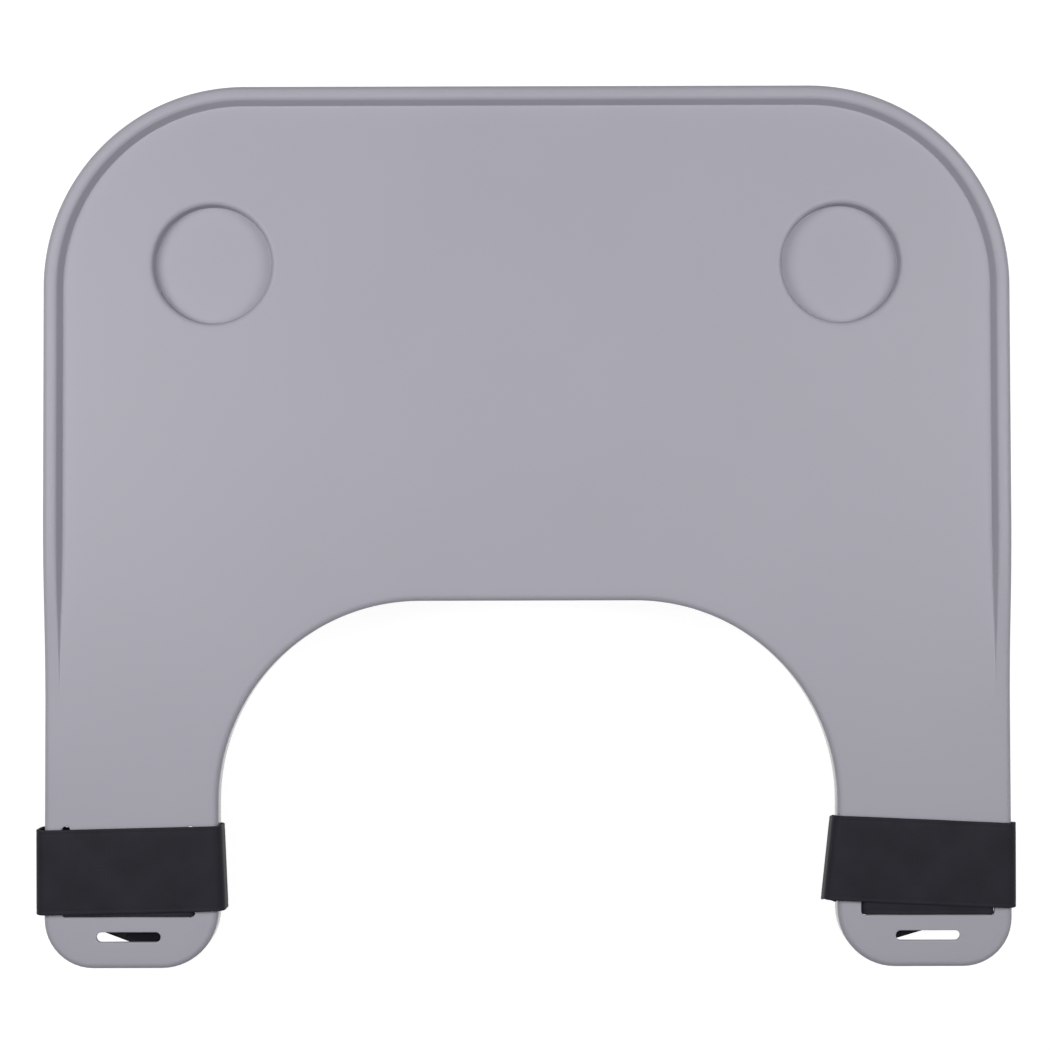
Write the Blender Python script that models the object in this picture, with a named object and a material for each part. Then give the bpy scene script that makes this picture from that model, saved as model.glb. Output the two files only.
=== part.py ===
"""Wheelchair tray table: a one-piece moulded tray with two hook-and-loop straps.

The tray lies level, with its front edge towards +Y and its two arms towards -Y. The user sits in
the waist cut-out between the arms. The arms lie on the armrests, and a strap round each arm holds
it there. Heights are counted from the flat top of the arms and panel, and every object is then
lifted so that the straps, the lowest thing, stand on the ground plane.
"""

from math import cos, pi, radians, sin, tan

import bmesh
import bpy
from mathutils import Matrix, Vector

# Tray outline, seen from above
TRAY_DEPTH = 0.5276
REAR_HALF_WIDTH = 0.29025
SIDE_TAPER = 0.00295
FRONT_CORNER_RADIUS = 0.119
ARM_OUTER_RADIUS = 0.0295
ARM_INNER_RADIUS = 0.034
ARM_WIDTH = 0.10435
WAIST_LENGTH = 0.2202
WAIST_CORNER_RADIUS = 0.1213

# Tray section
PANEL_THICKNESS = 0.003
SKIRT_DEPTH = 0.014
SKIRT_DRAFT = 0.00025
EDGE_RADIUS = 0.003
INSIDE_RADIUS = 0.0008

# Raised rim: full height round the front, fading out along the sides
RIM_HEIGHT = 0.0075
RIM_CREST_INSET = 0.0069
RIM_CREST_RADIUS = 0.0025
RIM_SLOPE_RUN = 0.0032
RIM_FOOT_RADIUS = 0.0008
RIM_END_INSET = 0.0093
RIM_END_SPREAD = 0.0011
RIM_FADE_LEAD = 0.0436
RIM_FADE_LENGTH = 0.102
FADE_EASE_SHARE = 0.5

# Cup recesses
CUP_SIDE_MARGIN = 0.099
CUP_FRONT_MARGIN = 0.105
CUP_MOUTH_RADIUS = 0.0356
CUP_FLOOR_RADIUS = 0.0352
CUP_DEPTH = 0.0092
CUP_LIP_RADIUS = 0.003
CUP_FLOOR_FILLET = 0.0006
BOWL_FILLET = 0.004

# Slots in the arms
STRAP_SLOT_END_ROOM = 0.0036
STRAP_SLOT_SIDE_ROOM = 0.0036
STRAP_SLOT_OUTER_MARGIN = 0.01375
STRAP_SLOT_INNER_MARGIN = 0.0161
STRAP_SLOT_REAR_MARGIN = 0.0583
SMALL_SLOT_LENGTH = 0.0384
SMALL_SLOT_WIDTH = 0.0059
SMALL_SLOT_GAP = 0.012
SLOT_EDGE = 0.0006

# Webbing, and the hook and loop patches sewn on it
WEBBING_WIDTH = 0.0508
WEBBING_THICKNESS = 0.0016
PATCH_WIDTH = 0.048
HOOK_THICKNESS = 0.0009
LOOP_THICKNESS = 0.0008
LAY_GAP = 0.0003
WRAP_GAP = 0.0005

# Route of the webbing round an arm
SLOT_BEND_RADIUS = 0.0026
END_BEND_RADIUS = 0.007
CROSS_BEND_RADIUS = 0.004
CROSS_DROP = 0.004
UNDER_CROSS_INSET = 0.0071
FOLD_TOP_RADIUS = 0.0055
INNER_UNDER_RADIUS = 0.0028
OUTER_UNDER_RADIUS = 0.0026
BAND_END_GAP = 0.026
BAND_STOP_INSET = 0.00325
TAIL_LIFT = 0.0002
TAIL_END_GAP = 0.007
TAIL_TURN_LENGTH = 0.012
TIP_LENGTH = 0.018
HOOK_START_MARGIN = 0.011
HOOK_END_MARGIN = 0.005
LOOP_END_MARGIN = 0.0015
LOOP_BEND_MARGIN = 0.009

# How each strap happens to lie: how far its middle line lies in front of the slots' middle where
# it passes through them and at its two folds, how far it sags to the rear down each fold, and how
# far it bows out and is turned
LEFT_SLOT_SHIFT = -0.0011
LEFT_OUTER_FOLD_SHIFT = -0.0002
LEFT_INNER_FOLD_SHIFT = 0.0020
LEFT_OUTER_SAG = 0.0002
LEFT_INNER_SAG = 0.0003
LEFT_OUTER_BULGE = 0.0036
LEFT_INNER_BULGE = 0.0029
LEFT_INNER_TURN = radians(2.4)
LEFT_TAIL_TURN = radians(21)
RIGHT_SLOT_SHIFT = -0.0011
RIGHT_OUTER_FOLD_SHIFT = 0.0030
RIGHT_INNER_FOLD_SHIFT = 0.0078
RIGHT_OUTER_SAG = 0.0014
RIGHT_INNER_SAG = 0.0022
RIGHT_OUTER_BULGE = 0.0022
RIGHT_INNER_BULGE = 0.0051
RIGHT_INNER_TURN = radians(5.4)
RIGHT_TAIL_TURN = radians(16.5)

# How finely curves are drawn
LARGE_CORNER_STEPS = 14
ARM_CORNER_STEPS = 7
EDGE_STEPS = 4
CREST_STEPS = 2
FOOT_STEPS = 3
INSIDE_STEPS = 1
FADE_STEPS = 9
CUP_SEGMENTS = 48
CUP_STEPS = 3
SLOT_END_STEPS = 6
WEBBING_BEND_STEPS = 5
SHARP_ANGLE = radians(32)

# Heights and places that follow from the sizes above
FRONT_Y = TRAY_DEPTH / 2
REAR_Y = -TRAY_DEPTH / 2
FRONT_HALF_WIDTH = REAR_HALF_WIDTH - SIDE_TAPER
WAIST_HALF_WIDTH = REAR_HALF_WIDTH - ARM_WIDTH
WAIST_FRONT_Y = REAR_Y + WAIST_LENGTH
RIM_FADE_START_Y = WAIST_FRONT_Y + RIM_FADE_LEAD
CUP_CENTRE_X = FRONT_HALF_WIDTH - CUP_SIDE_MARGIN
CUP_CENTRE_Y = FRONT_Y - CUP_FRONT_MARGIN
STRAP_SLOT_LENGTH = WEBBING_WIDTH + STRAP_SLOT_END_ROOM
STRAP_SLOT_WIDTH = WEBBING_THICKNESS + STRAP_SLOT_SIDE_ROOM
STRAP_SLOT_OUTER_X = REAR_HALF_WIDTH - STRAP_SLOT_OUTER_MARGIN
STRAP_SLOT_INNER_X = WAIST_HALF_WIDTH + STRAP_SLOT_INNER_MARGIN
STRAP_SLOT_Y = REAR_Y + STRAP_SLOT_REAR_MARGIN
SMALL_SLOT_X = (STRAP_SLOT_OUTER_X + STRAP_SLOT_INNER_X) / 2
SMALL_SLOT_Y = STRAP_SLOT_Y - STRAP_SLOT_LENGTH / 2 - SMALL_SLOT_GAP
UNDER_Z = -PANEL_THICKNESS
SKIRT_Z = -SKIRT_DEPTH
FIRST_LAYER_Z = LAY_GAP + WEBBING_THICKNESS / 2
WRAP_TOP_Z = FIRST_LAYER_Z + WEBBING_THICKNESS + LAY_GAP
WRAP_UNDER_Z = SKIRT_Z - WRAP_GAP - WEBBING_THICKNESS / 2
TAIL_Z = WRAP_UNDER_Z + TAIL_LIFT
HOOK_Z = TAIL_Z + WEBBING_THICKNESS / 2 + LAY_GAP + HOOK_THICKNESS / 2
LOOP_Z = HOOK_Z + HOOK_THICKNESS / 2 + LAY_GAP + LOOP_THICKNESS / 2
END_Z = LOOP_Z + LOOP_THICKNESS / 2 + LAY_GAP + WEBBING_THICKNESS / 2
TRAY_TOP_HEIGHT = WEBBING_THICKNESS / 2 - WRAP_UNDER_Z
BAND_END_X = STRAP_SLOT_INNER_X + BAND_END_GAP
BAND_STOP_X = REAR_HALF_WIDTH - BAND_STOP_INSET
LOOP_START_X = BAND_END_X + LOOP_END_MARGIN
LOOP_STOP_X = STRAP_SLOT_OUTER_X - LOOP_BEND_MARGIN
TAIL_LENGTH = BAND_STOP_X - STRAP_SLOT_INNER_X - TAIL_END_GAP - TIP_LENGTH


def linear_channel(value):
    """One sRGB channel, 0 to 1, as the linear value a shader takes."""
    if value <= 0.04045:
        return value / 12.92
    return ((value + 0.055) / 1.055) ** 2.4


def make_material(name, hex_colour, roughness, metallic=0.0):
    channels = [int(hex_colour[i:i + 2], 16) / 255 for i in (1, 3, 5)]
    material = bpy.data.materials.new(name)
    material.use_nodes = True
    shader = material.node_tree.nodes["Principled BSDF"]
    shader.inputs["Base Color"].default_value = [*map(linear_channel, channels), 1]
    shader.inputs["Roughness"].default_value = roughness
    shader.inputs["Metallic"].default_value = metallic
    return material


def add_object(name, mesh_data, material, origin=Vector((0, 0, 0)), parent=None):
    """Turn a bmesh into a named object whose own origin is the given point of the tray frame."""
    bmesh.ops.translate(mesh_data, verts=mesh_data.verts, vec=-origin)
    bmesh.ops.recalc_face_normals(mesh_data, faces=mesh_data.faces)
    mesh = bpy.data.meshes.new(name)
    mesh_data.to_mesh(mesh)
    mesh_data.free()
    mesh.materials.append(material)
    mesh.shade_smooth()
    mesh.set_sharp_from_angle(angle=SHARP_ANGLE)
    piece = bpy.data.objects.new(name, mesh)
    bpy.context.scene.collection.objects.link(piece)
    if parent is None:
        piece.location = origin + Vector((0, 0, TRAY_TOP_HEIGHT))
    else:
        piece.parent = parent
    return piece


def add_hinge(name, point, parent=None, parent_point=None):
    """An empty on a hinge line, which carries the pieces that turn with it."""
    hinge = bpy.data.objects.new(name, None)
    bpy.context.scene.collection.objects.link(hinge)
    if parent is None:
        hinge.location = point + Vector((0, 0, TRAY_TOP_HEIGHT))
    else:
        hinge.parent = parent
        hinge.location = point - parent_point
    return hinge


def rounded_path(corners):
    """Points along a path whose corners are rounded: each corner is (point, radius, steps)."""
    path = [corners[0][0]]
    for before, corner, after in zip(corners, corners[1:], corners[2:]):
        point, radius, steps = corner
        arriving = (point - before[0]).normalized()
        leaving = (after[0] - point).normalized()
        turn = arriving.angle_signed(leaving)
        start = point - arriving * radius * tan(abs(turn) / 2)
        side = Vector((-arriving.y, arriving.x))
        if turn > 0:
            side = -side
        centre = start + side * radius
        for step in range(steps + 1):
            spoke = Matrix.Rotation(-turn * step / steps, 2) @ (start - centre)
            path.append(centre + spoke)
    path.append(corners[-1][0])
    return path


def ring_edges(mesh_data, ring):
    """The edges between a ring's corners, which are in order."""
    return [mesh_data.edges.get(pair) for pair in zip(ring, ring[1:] + ring[:1])]


def add_ring(mesh_data, points):
    """A closed ring of edges through the points; gives its corners in order."""
    ring = [mesh_data.verts.new(point) for point in points]
    for pair in zip(ring, ring[1:] + ring[:1]):
        mesh_data.edges.new(pair)
    return ring


def extrude_ring(mesh_data, ring, points):
    """A wall from a ring to the points, which are in the same order; gives its far ring."""
    grown = bmesh.ops.extrude_edge_only(mesh_data, edges=ring_edges(mesh_data, ring))["geom"]
    new_verts = {item for item in grown if isinstance(item, bmesh.types.BMVert)}
    far_ring = []
    for vert, point in zip(ring, points):
        neighbours = [edge.other_vert(vert) for edge in vert.link_edges]
        far_vert = next(neighbour for neighbour in neighbours if neighbour in new_verts)
        far_vert.co = point
        far_ring.append(far_vert)
    return far_ring


def add_wall(mesh_data, point_rings):
    """Faces from each ring of points to the next; gives the first ring and the last."""
    first = add_ring(mesh_data, point_rings[0])
    last = first
    for points in point_rings[1:]:
        last = extrude_ring(mesh_data, last, points)
    return first, last


def fade_share(distance_share):
    """Rim height, as a share, at a share of the way along its fade, eased at both ends."""
    ease = sin(2 * pi * distance_share) / (2 * pi)
    return 1 - distance_share + ease * FADE_EASE_SHARE


def faces_outwards(point, normal):
    """True on the tray's long sides, and not along the waist cut-out."""
    return point.x * normal.x > 0


def rim_share(point, normal):
    """Share of the full rim height at a point of the tray's outline."""
    if point.y >= RIM_FADE_START_Y:
        return 1.0
    if not faces_outwards(point, normal):
        return 0.0
    distance_share = (RIM_FADE_START_Y - point.y) / RIM_FADE_LENGTH
    return fade_share(min(distance_share, 1.0))


def side_points(start, end):
    """Extra outline points on a long side, where the rim fades, in the order start to end."""
    fade_points = []
    for step in range(FADE_STEPS + 1):
        y = RIM_FADE_START_Y - RIM_FADE_LENGTH * step / FADE_STEPS
        fade_points.append(start.lerp(end, (start.y - y) / (start.y - end.y)))
    if end.y > start.y:
        fade_points.reverse()
    return fade_points


def tray_outline():
    """The tray's edge from above, anticlockwise: each sample is (point, outward normal)."""
    corners = [
        (Vector((FRONT_HALF_WIDTH, FRONT_Y)), FRONT_CORNER_RADIUS, LARGE_CORNER_STEPS),
        (Vector((-FRONT_HALF_WIDTH, FRONT_Y)), FRONT_CORNER_RADIUS, LARGE_CORNER_STEPS),
        (Vector((-REAR_HALF_WIDTH, REAR_Y)), ARM_OUTER_RADIUS, ARM_CORNER_STEPS),
        (Vector((-WAIST_HALF_WIDTH, REAR_Y)), ARM_INNER_RADIUS, ARM_CORNER_STEPS),
        (Vector((-WAIST_HALF_WIDTH, WAIST_FRONT_Y)), WAIST_CORNER_RADIUS, LARGE_CORNER_STEPS),
        (Vector((WAIST_HALF_WIDTH, WAIST_FRONT_Y)), WAIST_CORNER_RADIUS, LARGE_CORNER_STEPS),
        (Vector((WAIST_HALF_WIDTH, REAR_Y)), ARM_INNER_RADIUS, ARM_CORNER_STEPS),
        (Vector((REAR_HALF_WIDTH, REAR_Y)), ARM_OUTER_RADIUS, ARM_CORNER_STEPS),
    ]
    arcs = []
    for index, (point, radius, steps) in enumerate(corners):
        arriving = (point - corners[index - 1][0]).normalized()
        leaving = (corners[(index + 1) % len(corners)][0] - point).normalized()
        turn = -arriving.angle_signed(leaving)
        outward = Vector((arriving.y, -arriving.x))
        bulge = radius if turn > 0 else -radius
        start = point - arriving * radius * tan(abs(turn) / 2)
        centre = start - outward * bulge
        arc = []
        for step in range(steps + 1):
            normal = Matrix.Rotation(turn * step / steps, 2) @ outward
            arc.append((centre + normal * bulge, normal))
        arcs.append(arc)
    samples = []
    for index, arc in enumerate(arcs):
        samples += arc
        start, normal = arc[-1]
        end = arcs[(index + 1) % len(arcs)][0][0]
        if abs(end.y - start.y) > RIM_FADE_LENGTH and faces_outwards(start, normal):
            samples += [(point, normal) for point in side_points(start, end)]
    return samples


def outer_section():
    """Upper section of the tray's edge, skirt to panel, as (inset, height): rimmed and plain.

    The plain section has as many points: those of the rim's crest and foot lie flat and close
    together, so that the rim tapers to a point where it ends.
    """
    foot_inset = RIM_CREST_INSET + RIM_SLOPE_RUN
    rimmed = rounded_path([
        (Vector((-SKIRT_DRAFT, SKIRT_Z)), 0, 0),
        (Vector((0, RIM_HEIGHT)), EDGE_RADIUS, EDGE_STEPS),
        (Vector((RIM_CREST_INSET, RIM_HEIGHT)), RIM_CREST_RADIUS, CREST_STEPS),
        (Vector((foot_inset, 0)), RIM_FOOT_RADIUS, FOOT_STEPS),
        (Vector((foot_inset + RIM_FOOT_RADIUS, 0)), 0, 0),
    ])[:-1]
    plain = rounded_path([
        (Vector((-SKIRT_DRAFT, SKIRT_Z)), 0, 0),
        (Vector((0, 0)), EDGE_RADIUS, EDGE_STEPS),
        (Vector((RIM_END_INSET, 0)), 0, 0),
    ])[:-1]
    flat_count = len(rimmed) - len(plain)
    for index in range(flat_count):
        spread = RIM_END_SPREAD * (index / (flat_count - 1) - 0.5)
        plain.append(Vector((RIM_END_INSET + spread, 0)))
    return rimmed, plain


def inner_section():
    """Under section of the tray's edge, skirt to panel: one wall inside the outer section."""
    slope_length = (RIM_SLOPE_RUN ** 2 + RIM_HEIGHT ** 2) ** 0.5
    slope_shift = PANEL_THICKNESS * slope_length / RIM_HEIGHT
    run_per_height = RIM_SLOPE_RUN / RIM_HEIGHT
    hollow_z = RIM_HEIGHT - PANEL_THICKNESS
    hollow_inset = RIM_CREST_INSET + PANEL_THICKNESS * run_per_height - slope_shift
    foot_inset = hollow_inset + RIM_HEIGHT * run_per_height
    wall_foot = Vector((PANEL_THICKNESS - SKIRT_DRAFT, SKIRT_Z))
    rimmed = rounded_path([
        (wall_foot, 0, 0),
        (Vector((PANEL_THICKNESS, hollow_z)), INSIDE_RADIUS, INSIDE_STEPS),
        (Vector((hollow_inset, hollow_z)), INSIDE_RADIUS, INSIDE_STEPS),
        (Vector((foot_inset, UNDER_Z)), INSIDE_RADIUS, INSIDE_STEPS),
        (Vector((foot_inset + PANEL_THICKNESS, UNDER_Z)), 0, 0),
    ])[:-1]
    plain = rounded_path([
        (wall_foot, 0, 0),
        (Vector((PANEL_THICKNESS, UNDER_Z)), INSIDE_RADIUS, INSIDE_STEPS),
        (Vector((RIM_END_INSET, UNDER_Z)), 0, 0),
    ])[:-1]
    flat_count = len(rimmed) - len(plain)
    for index in range(flat_count):
        spread = RIM_END_SPREAD * (index / (flat_count - 1) - 0.5)
        plain.append(Vector((foot_inset + spread, UNDER_Z)))
    return rimmed, plain


def edge_rings(samples, section):
    """Rings of points round the tray, one for each point of a section, as high as the rim is."""
    rings = []
    for rimmed, plain in zip(*section):
        points = []
        for point, normal in samples:
            inset, height = plain.lerp(rimmed, rim_share(point, normal))
            points.append((point - normal * inset).to_3d() + Vector((0, 0, height)))
        rings.append(points)
    return rings


def slot_points(centre, length, width, grow, height):
    """Outline of a round-ended slot that runs along Y, or along X where width is the longer."""
    radius = min(length, width) / 2
    reach = Vector((width / 2 - radius, length / 2 - radius))
    ahead = Vector((0, 1)) if length > width else Vector((1, 0))
    points = []
    for end in (1, -1):
        for step in range(SLOT_END_STEPS + 1):
            angle = -pi / 2 + pi * step / SLOT_END_STEPS
            spoke = Matrix.Rotation(angle, 2) @ (ahead * end)
            points.append((centre + reach * end + spoke * (radius + grow)).to_3d())
    for point in points:
        point.z = height
    return points


def add_slot(mesh_data, centre, length, width):
    """Walls of a slot through the panel, with eased edges; gives its upper and lower rings."""
    levels = [(SLOT_EDGE, 0), (0, -SLOT_EDGE), (0, UNDER_Z + SLOT_EDGE), (SLOT_EDGE, UNDER_Z)]
    rings = [slot_points(centre, length, width, grow, height) for grow, height in levels]
    return add_wall(mesh_data, rings)


def add_turned_hollow(mesh_data, centre, profile):
    """A dished surface turned round an upright line, closed at its floor; gives its top ring."""
    rings = []
    for radius, height in profile:
        points = []
        for segment in range(CUP_SEGMENTS):
            angle = 2 * pi * segment / CUP_SEGMENTS
            spoke = Vector((cos(angle), sin(angle))) * radius
            points.append((centre + spoke).to_3d() + Vector((0, 0, height)))
        rings.append(points)
    top_ring, floor_ring = add_wall(mesh_data, rings)
    bmesh.ops.contextual_create(mesh_data, geom=ring_edges(mesh_data, floor_ring))
    return top_ring


def cup_profile():
    """Inside of a cup recess, mouth to floor, as (radius, height)."""
    return rounded_path([
        (Vector((CUP_MOUTH_RADIUS + CUP_LIP_RADIUS, 0)), 0, 0),
        (Vector((CUP_MOUTH_RADIUS, 0)), CUP_LIP_RADIUS, CUP_STEPS),
        (Vector((CUP_FLOOR_RADIUS, -CUP_DEPTH)), CUP_FLOOR_FILLET, CUP_STEPS),
        (Vector((0, -CUP_DEPTH)), 0, 0),
    ])[1:-1]


def bowl_profile():
    """Underside of a cup recess, one wall outside its inside."""
    run_per_depth = (CUP_MOUTH_RADIUS - CUP_FLOOR_RADIUS) / CUP_DEPTH
    wall_shift = PANEL_THICKNESS * (1 + run_per_depth ** 2) ** 0.5
    top_radius = CUP_MOUTH_RADIUS - PANEL_THICKNESS * run_per_depth + wall_shift
    floor_radius = CUP_FLOOR_RADIUS - PANEL_THICKNESS * run_per_depth + wall_shift
    floor_z = -CUP_DEPTH - PANEL_THICKNESS
    return rounded_path([
        (Vector((top_radius + INSIDE_RADIUS, UNDER_Z)), 0, 0),
        (Vector((top_radius, UNDER_Z)), INSIDE_RADIUS, INSIDE_STEPS),
        (Vector((floor_radius, floor_z)), BOWL_FILLET, CUP_STEPS),
        (Vector((0, floor_z)), 0, 0),
    ])[1:-1]


def make_tray(material):
    """The moulded tray: edge rings, cup recesses and slots, joined by two flat pierced faces."""
    tray = bmesh.new()
    samples = tray_outline()
    outer_rings = edge_rings(samples, outer_section())
    inner_rings = edge_rings(samples, inner_section())
    top_ring, under_ring = add_wall(tray, outer_rings[::-1] + inner_rings)
    top_rings = [top_ring]
    under_rings = [under_ring]
    for side in (-1, 1):
        cup_centre = Vector((side * CUP_CENTRE_X, CUP_CENTRE_Y))
        top_rings.append(add_turned_hollow(tray, cup_centre, cup_profile()))
        under_rings.append(add_turned_hollow(tray, cup_centre, bowl_profile()))
        slots = [
            (STRAP_SLOT_OUTER_X, STRAP_SLOT_Y, STRAP_SLOT_LENGTH, STRAP_SLOT_WIDTH),
            (STRAP_SLOT_INNER_X, STRAP_SLOT_Y, STRAP_SLOT_LENGTH, STRAP_SLOT_WIDTH),
            (SMALL_SLOT_X, SMALL_SLOT_Y, SMALL_SLOT_WIDTH, SMALL_SLOT_LENGTH),
        ]
        for x, y, length, width in slots:
            upper, lower = add_slot(tray, Vector((side * x, y)), length, width)
            top_rings.append(upper)
            under_rings.append(lower)
    for rings in (top_rings, under_rings):
        edges = [edge for ring in rings for edge in ring_edges(tray, ring)]
        bmesh.ops.triangle_fill(tray, edges=edges, use_beauty=True)
    return add_object("tray_panel", tray, material)


def webbing_sections(stations, width, thickness):
    """Four corners of the webbing at each station, given as (middle point, turn in plan)."""
    sections = []
    for index, (middle, turn) in enumerate(stations):
        before = stations[max(index - 1, 0)][0]
        after = stations[min(index + 1, len(stations) - 1)][0]
        across = Vector((sin(turn), cos(turn), 0))
        normal = (after - before).cross(across).normalized()
        half_width = across * width / 2
        half_thickness = normal * thickness / 2
        sections.append([
            middle + half_width + half_thickness,
            middle - half_width + half_thickness,
            middle - half_width - half_thickness,
            middle + half_width - half_thickness,
        ])
    return sections


def make_webbing(name, side, stations, size, material, origin=Vector((0, 0, 0)), parent=None):
    """A flat band extruded from station to station, on the right arm or mirrored to the left."""
    band = bmesh.new()
    sections = webbing_sections(stations, *size)
    end_face = band.faces.new([band.verts.new(corner) for corner in sections[0]])
    for section in sections[1:]:
        grown = bmesh.ops.extrude_face_region(band, geom=[end_face])["geom"]
        if section is not sections[1]:
            bmesh.ops.delete(band, geom=[end_face], context="FACES_ONLY")
        end_face = next(item for item in grown if isinstance(item, bmesh.types.BMFace))
        for vert, corner in zip(end_face.verts, section):
            vert.co = corner
    bmesh.ops.scale(band, verts=band.verts, vec=(side, 1, 1))
    return add_object(name, band, material, origin, parent)


def tail_y(lay):
    """Where the middle line lies at the foot of the outer fold, and the tail with it."""
    return STRAP_SLOT_Y + lay["outer_shift"] - lay["outer_sag"]


def band_stations(lay):
    """Middle line of the fixed webbing: from its loop end, through the slots, round the arm."""
    slot_y = STRAP_SLOT_Y + lay["slot_shift"]
    outer_y = STRAP_SLOT_Y + lay["outer_shift"]
    inner_y = STRAP_SLOT_Y + lay["inner_shift"]
    foot_y = inner_y - lay["inner_sag"]
    outer_x = REAR_HALF_WIDTH + lay["outer_bulge"]
    inner_x = WAIST_HALF_WIDTH - lay["inner_bulge"]
    inner_turn = lay["inner_turn"]
    cross_x = WAIST_HALF_WIDTH + UNDER_CROSS_INSET
    cross_y = (slot_y + foot_y) / 2
    corners = [
        (BAND_END_X, END_Z, 0, slot_y, 0),
        (STRAP_SLOT_OUTER_X, END_Z, END_BEND_RADIUS, slot_y, 0),
        (STRAP_SLOT_OUTER_X, FIRST_LAYER_Z, SLOT_BEND_RADIUS, slot_y, 0),
        (STRAP_SLOT_INNER_X, FIRST_LAYER_Z, SLOT_BEND_RADIUS, slot_y, 0),
        (STRAP_SLOT_INNER_X, UNDER_Z - CROSS_DROP, CROSS_BEND_RADIUS, slot_y, 0),
        (cross_x, WRAP_UNDER_Z, CROSS_BEND_RADIUS, cross_y, inner_turn / 2),
        (inner_x, WRAP_UNDER_Z, INNER_UNDER_RADIUS, foot_y, inner_turn),
        (inner_x, WRAP_TOP_Z, FOLD_TOP_RADIUS, inner_y, inner_turn),
        (outer_x, WRAP_TOP_Z, FOLD_TOP_RADIUS, outer_y, 0),
        (outer_x, WRAP_UNDER_Z, OUTER_UNDER_RADIUS, tail_y(lay), 0),
        (BAND_STOP_X, WRAP_UNDER_Z, 0, tail_y(lay), 0),
    ]
    steps = WEBBING_BEND_STEPS
    path = rounded_path([(Vector((x, z)), radius, steps) for x, z, radius, _, _ in corners])
    bends = [corner for corner in corners[1:-1] for _ in range(steps + 1)]
    stations = []
    for point, corner in zip(path, [corners[0], *bends, corners[-1]]):
        y, turn = corner[3:]
        stations.append((Vector((point.x, y, point.y)), turn))
    return stations


def tail_point(lay, distance, height):
    """A point of the tail's middle line, a distance from where the tail starts."""
    start_x = BAND_STOP_X - LAY_GAP
    turn = lay["tail_turn"]
    return Vector((start_x - distance * cos(turn), tail_y(lay) - distance * sin(turn), height))


def make_strap(name, side, lay, materials):
    """One strap: fixed band, loop patch, and the tail, hook patch and tip that peel away."""
    webbing, hook, loop = materials
    size = (WEBBING_WIDTH, WEBBING_THICKNESS)
    make_webbing(name + "_strap_band", side, band_stations(lay), size, webbing)

    slot_y = STRAP_SLOT_Y + lay["slot_shift"]
    loop_line = [
        (Vector((LOOP_START_X, slot_y, LOOP_Z)), 0),
        (Vector((LOOP_STOP_X, slot_y, LOOP_Z)), 0),
    ]
    make_webbing(name + "_loop_patch", side, loop_line, (PATCH_WIDTH, LOOP_THICKNESS), loop)

    mirror = Vector((side, 1, 1))
    hinge_x = BAND_STOP_X - LAY_GAP / 2
    tail_axis = Vector((hinge_x, tail_y(lay), WRAP_UNDER_Z - WEBBING_THICKNESS / 2)) * mirror
    tail_hinge = add_hinge(name + "_tail_hinge", tail_axis)
    turn = -lay["tail_turn"]
    tail_line = [
        (tail_point(lay, 0, TAIL_Z), 0),
        (tail_point(lay, TAIL_TURN_LENGTH, TAIL_Z), turn),
        (tail_point(lay, TAIL_LENGTH, TAIL_Z), turn),
    ]
    make_webbing(
        name + "_strap_tail", side, tail_line, size, webbing, tail_axis, tail_hinge)
    hook_stop = TAIL_LENGTH - HOOK_END_MARGIN
    hook_line = [
        (tail_point(lay, HOOK_START_MARGIN, HOOK_Z), turn),
        (tail_point(lay, hook_stop, HOOK_Z), turn),
    ]
    hook_size = (PATCH_WIDTH, HOOK_THICKNESS)
    make_webbing(
        name + "_hook_patch", side, hook_line, hook_size, hook, tail_axis, tail_hinge)

    tip_height = TAIL_Z - WEBBING_THICKNESS / 2
    tip_axis = tail_point(lay, TAIL_LENGTH + LAY_GAP / 2, tip_height) * mirror
    tip_hinge = add_hinge(name + "_tip_hinge", tip_axis, tail_hinge, tail_axis)
    tip_start = TAIL_LENGTH + LAY_GAP
    tip_line = [
        (tail_point(lay, tip_start, TAIL_Z), turn),
        (tail_point(lay, tip_start + TIP_LENGTH, TAIL_Z), turn),
    ]
    make_webbing(name + "_strap_tip", side, tip_line, size, webbing, tip_axis, tip_hinge)


def main():
    for scene_object in list(bpy.data.objects):
        bpy.data.objects.remove(scene_object, do_unlink=True)
    plastic = make_material("moulded_grey_plastic", "#A9A8B1", 0.5)
    webbing = make_material("black_webbing", "#2B2A2F", 0.85)
    hook = make_material("black_hook_tape", "#1B1B1E", 0.7)
    loop = make_material("black_loop_tape", "#232227", 0.95)
    make_tray(plastic)
    left_lay = {
        "slot_shift": LEFT_SLOT_SHIFT, "outer_shift": LEFT_OUTER_FOLD_SHIFT,
        "inner_shift": LEFT_INNER_FOLD_SHIFT, "outer_sag": LEFT_OUTER_SAG,
        "inner_sag": LEFT_INNER_SAG, "outer_bulge": LEFT_OUTER_BULGE,
        "inner_bulge": LEFT_INNER_BULGE, "inner_turn": LEFT_INNER_TURN,
        "tail_turn": LEFT_TAIL_TURN}
    right_lay = {
        "slot_shift": RIGHT_SLOT_SHIFT, "outer_shift": RIGHT_OUTER_FOLD_SHIFT,
        "inner_shift": RIGHT_INNER_FOLD_SHIFT, "outer_sag": RIGHT_OUTER_SAG,
        "inner_sag": RIGHT_INNER_SAG, "outer_bulge": RIGHT_OUTER_BULGE,
        "inner_bulge": RIGHT_INNER_BULGE, "inner_turn": RIGHT_INNER_TURN,
        "tail_turn": RIGHT_TAIL_TURN}
    make_strap("left", -1, left_lay, (webbing, hook, loop))
    make_strap("right", 1, right_lay, (webbing, hook, loop))


main()
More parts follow.
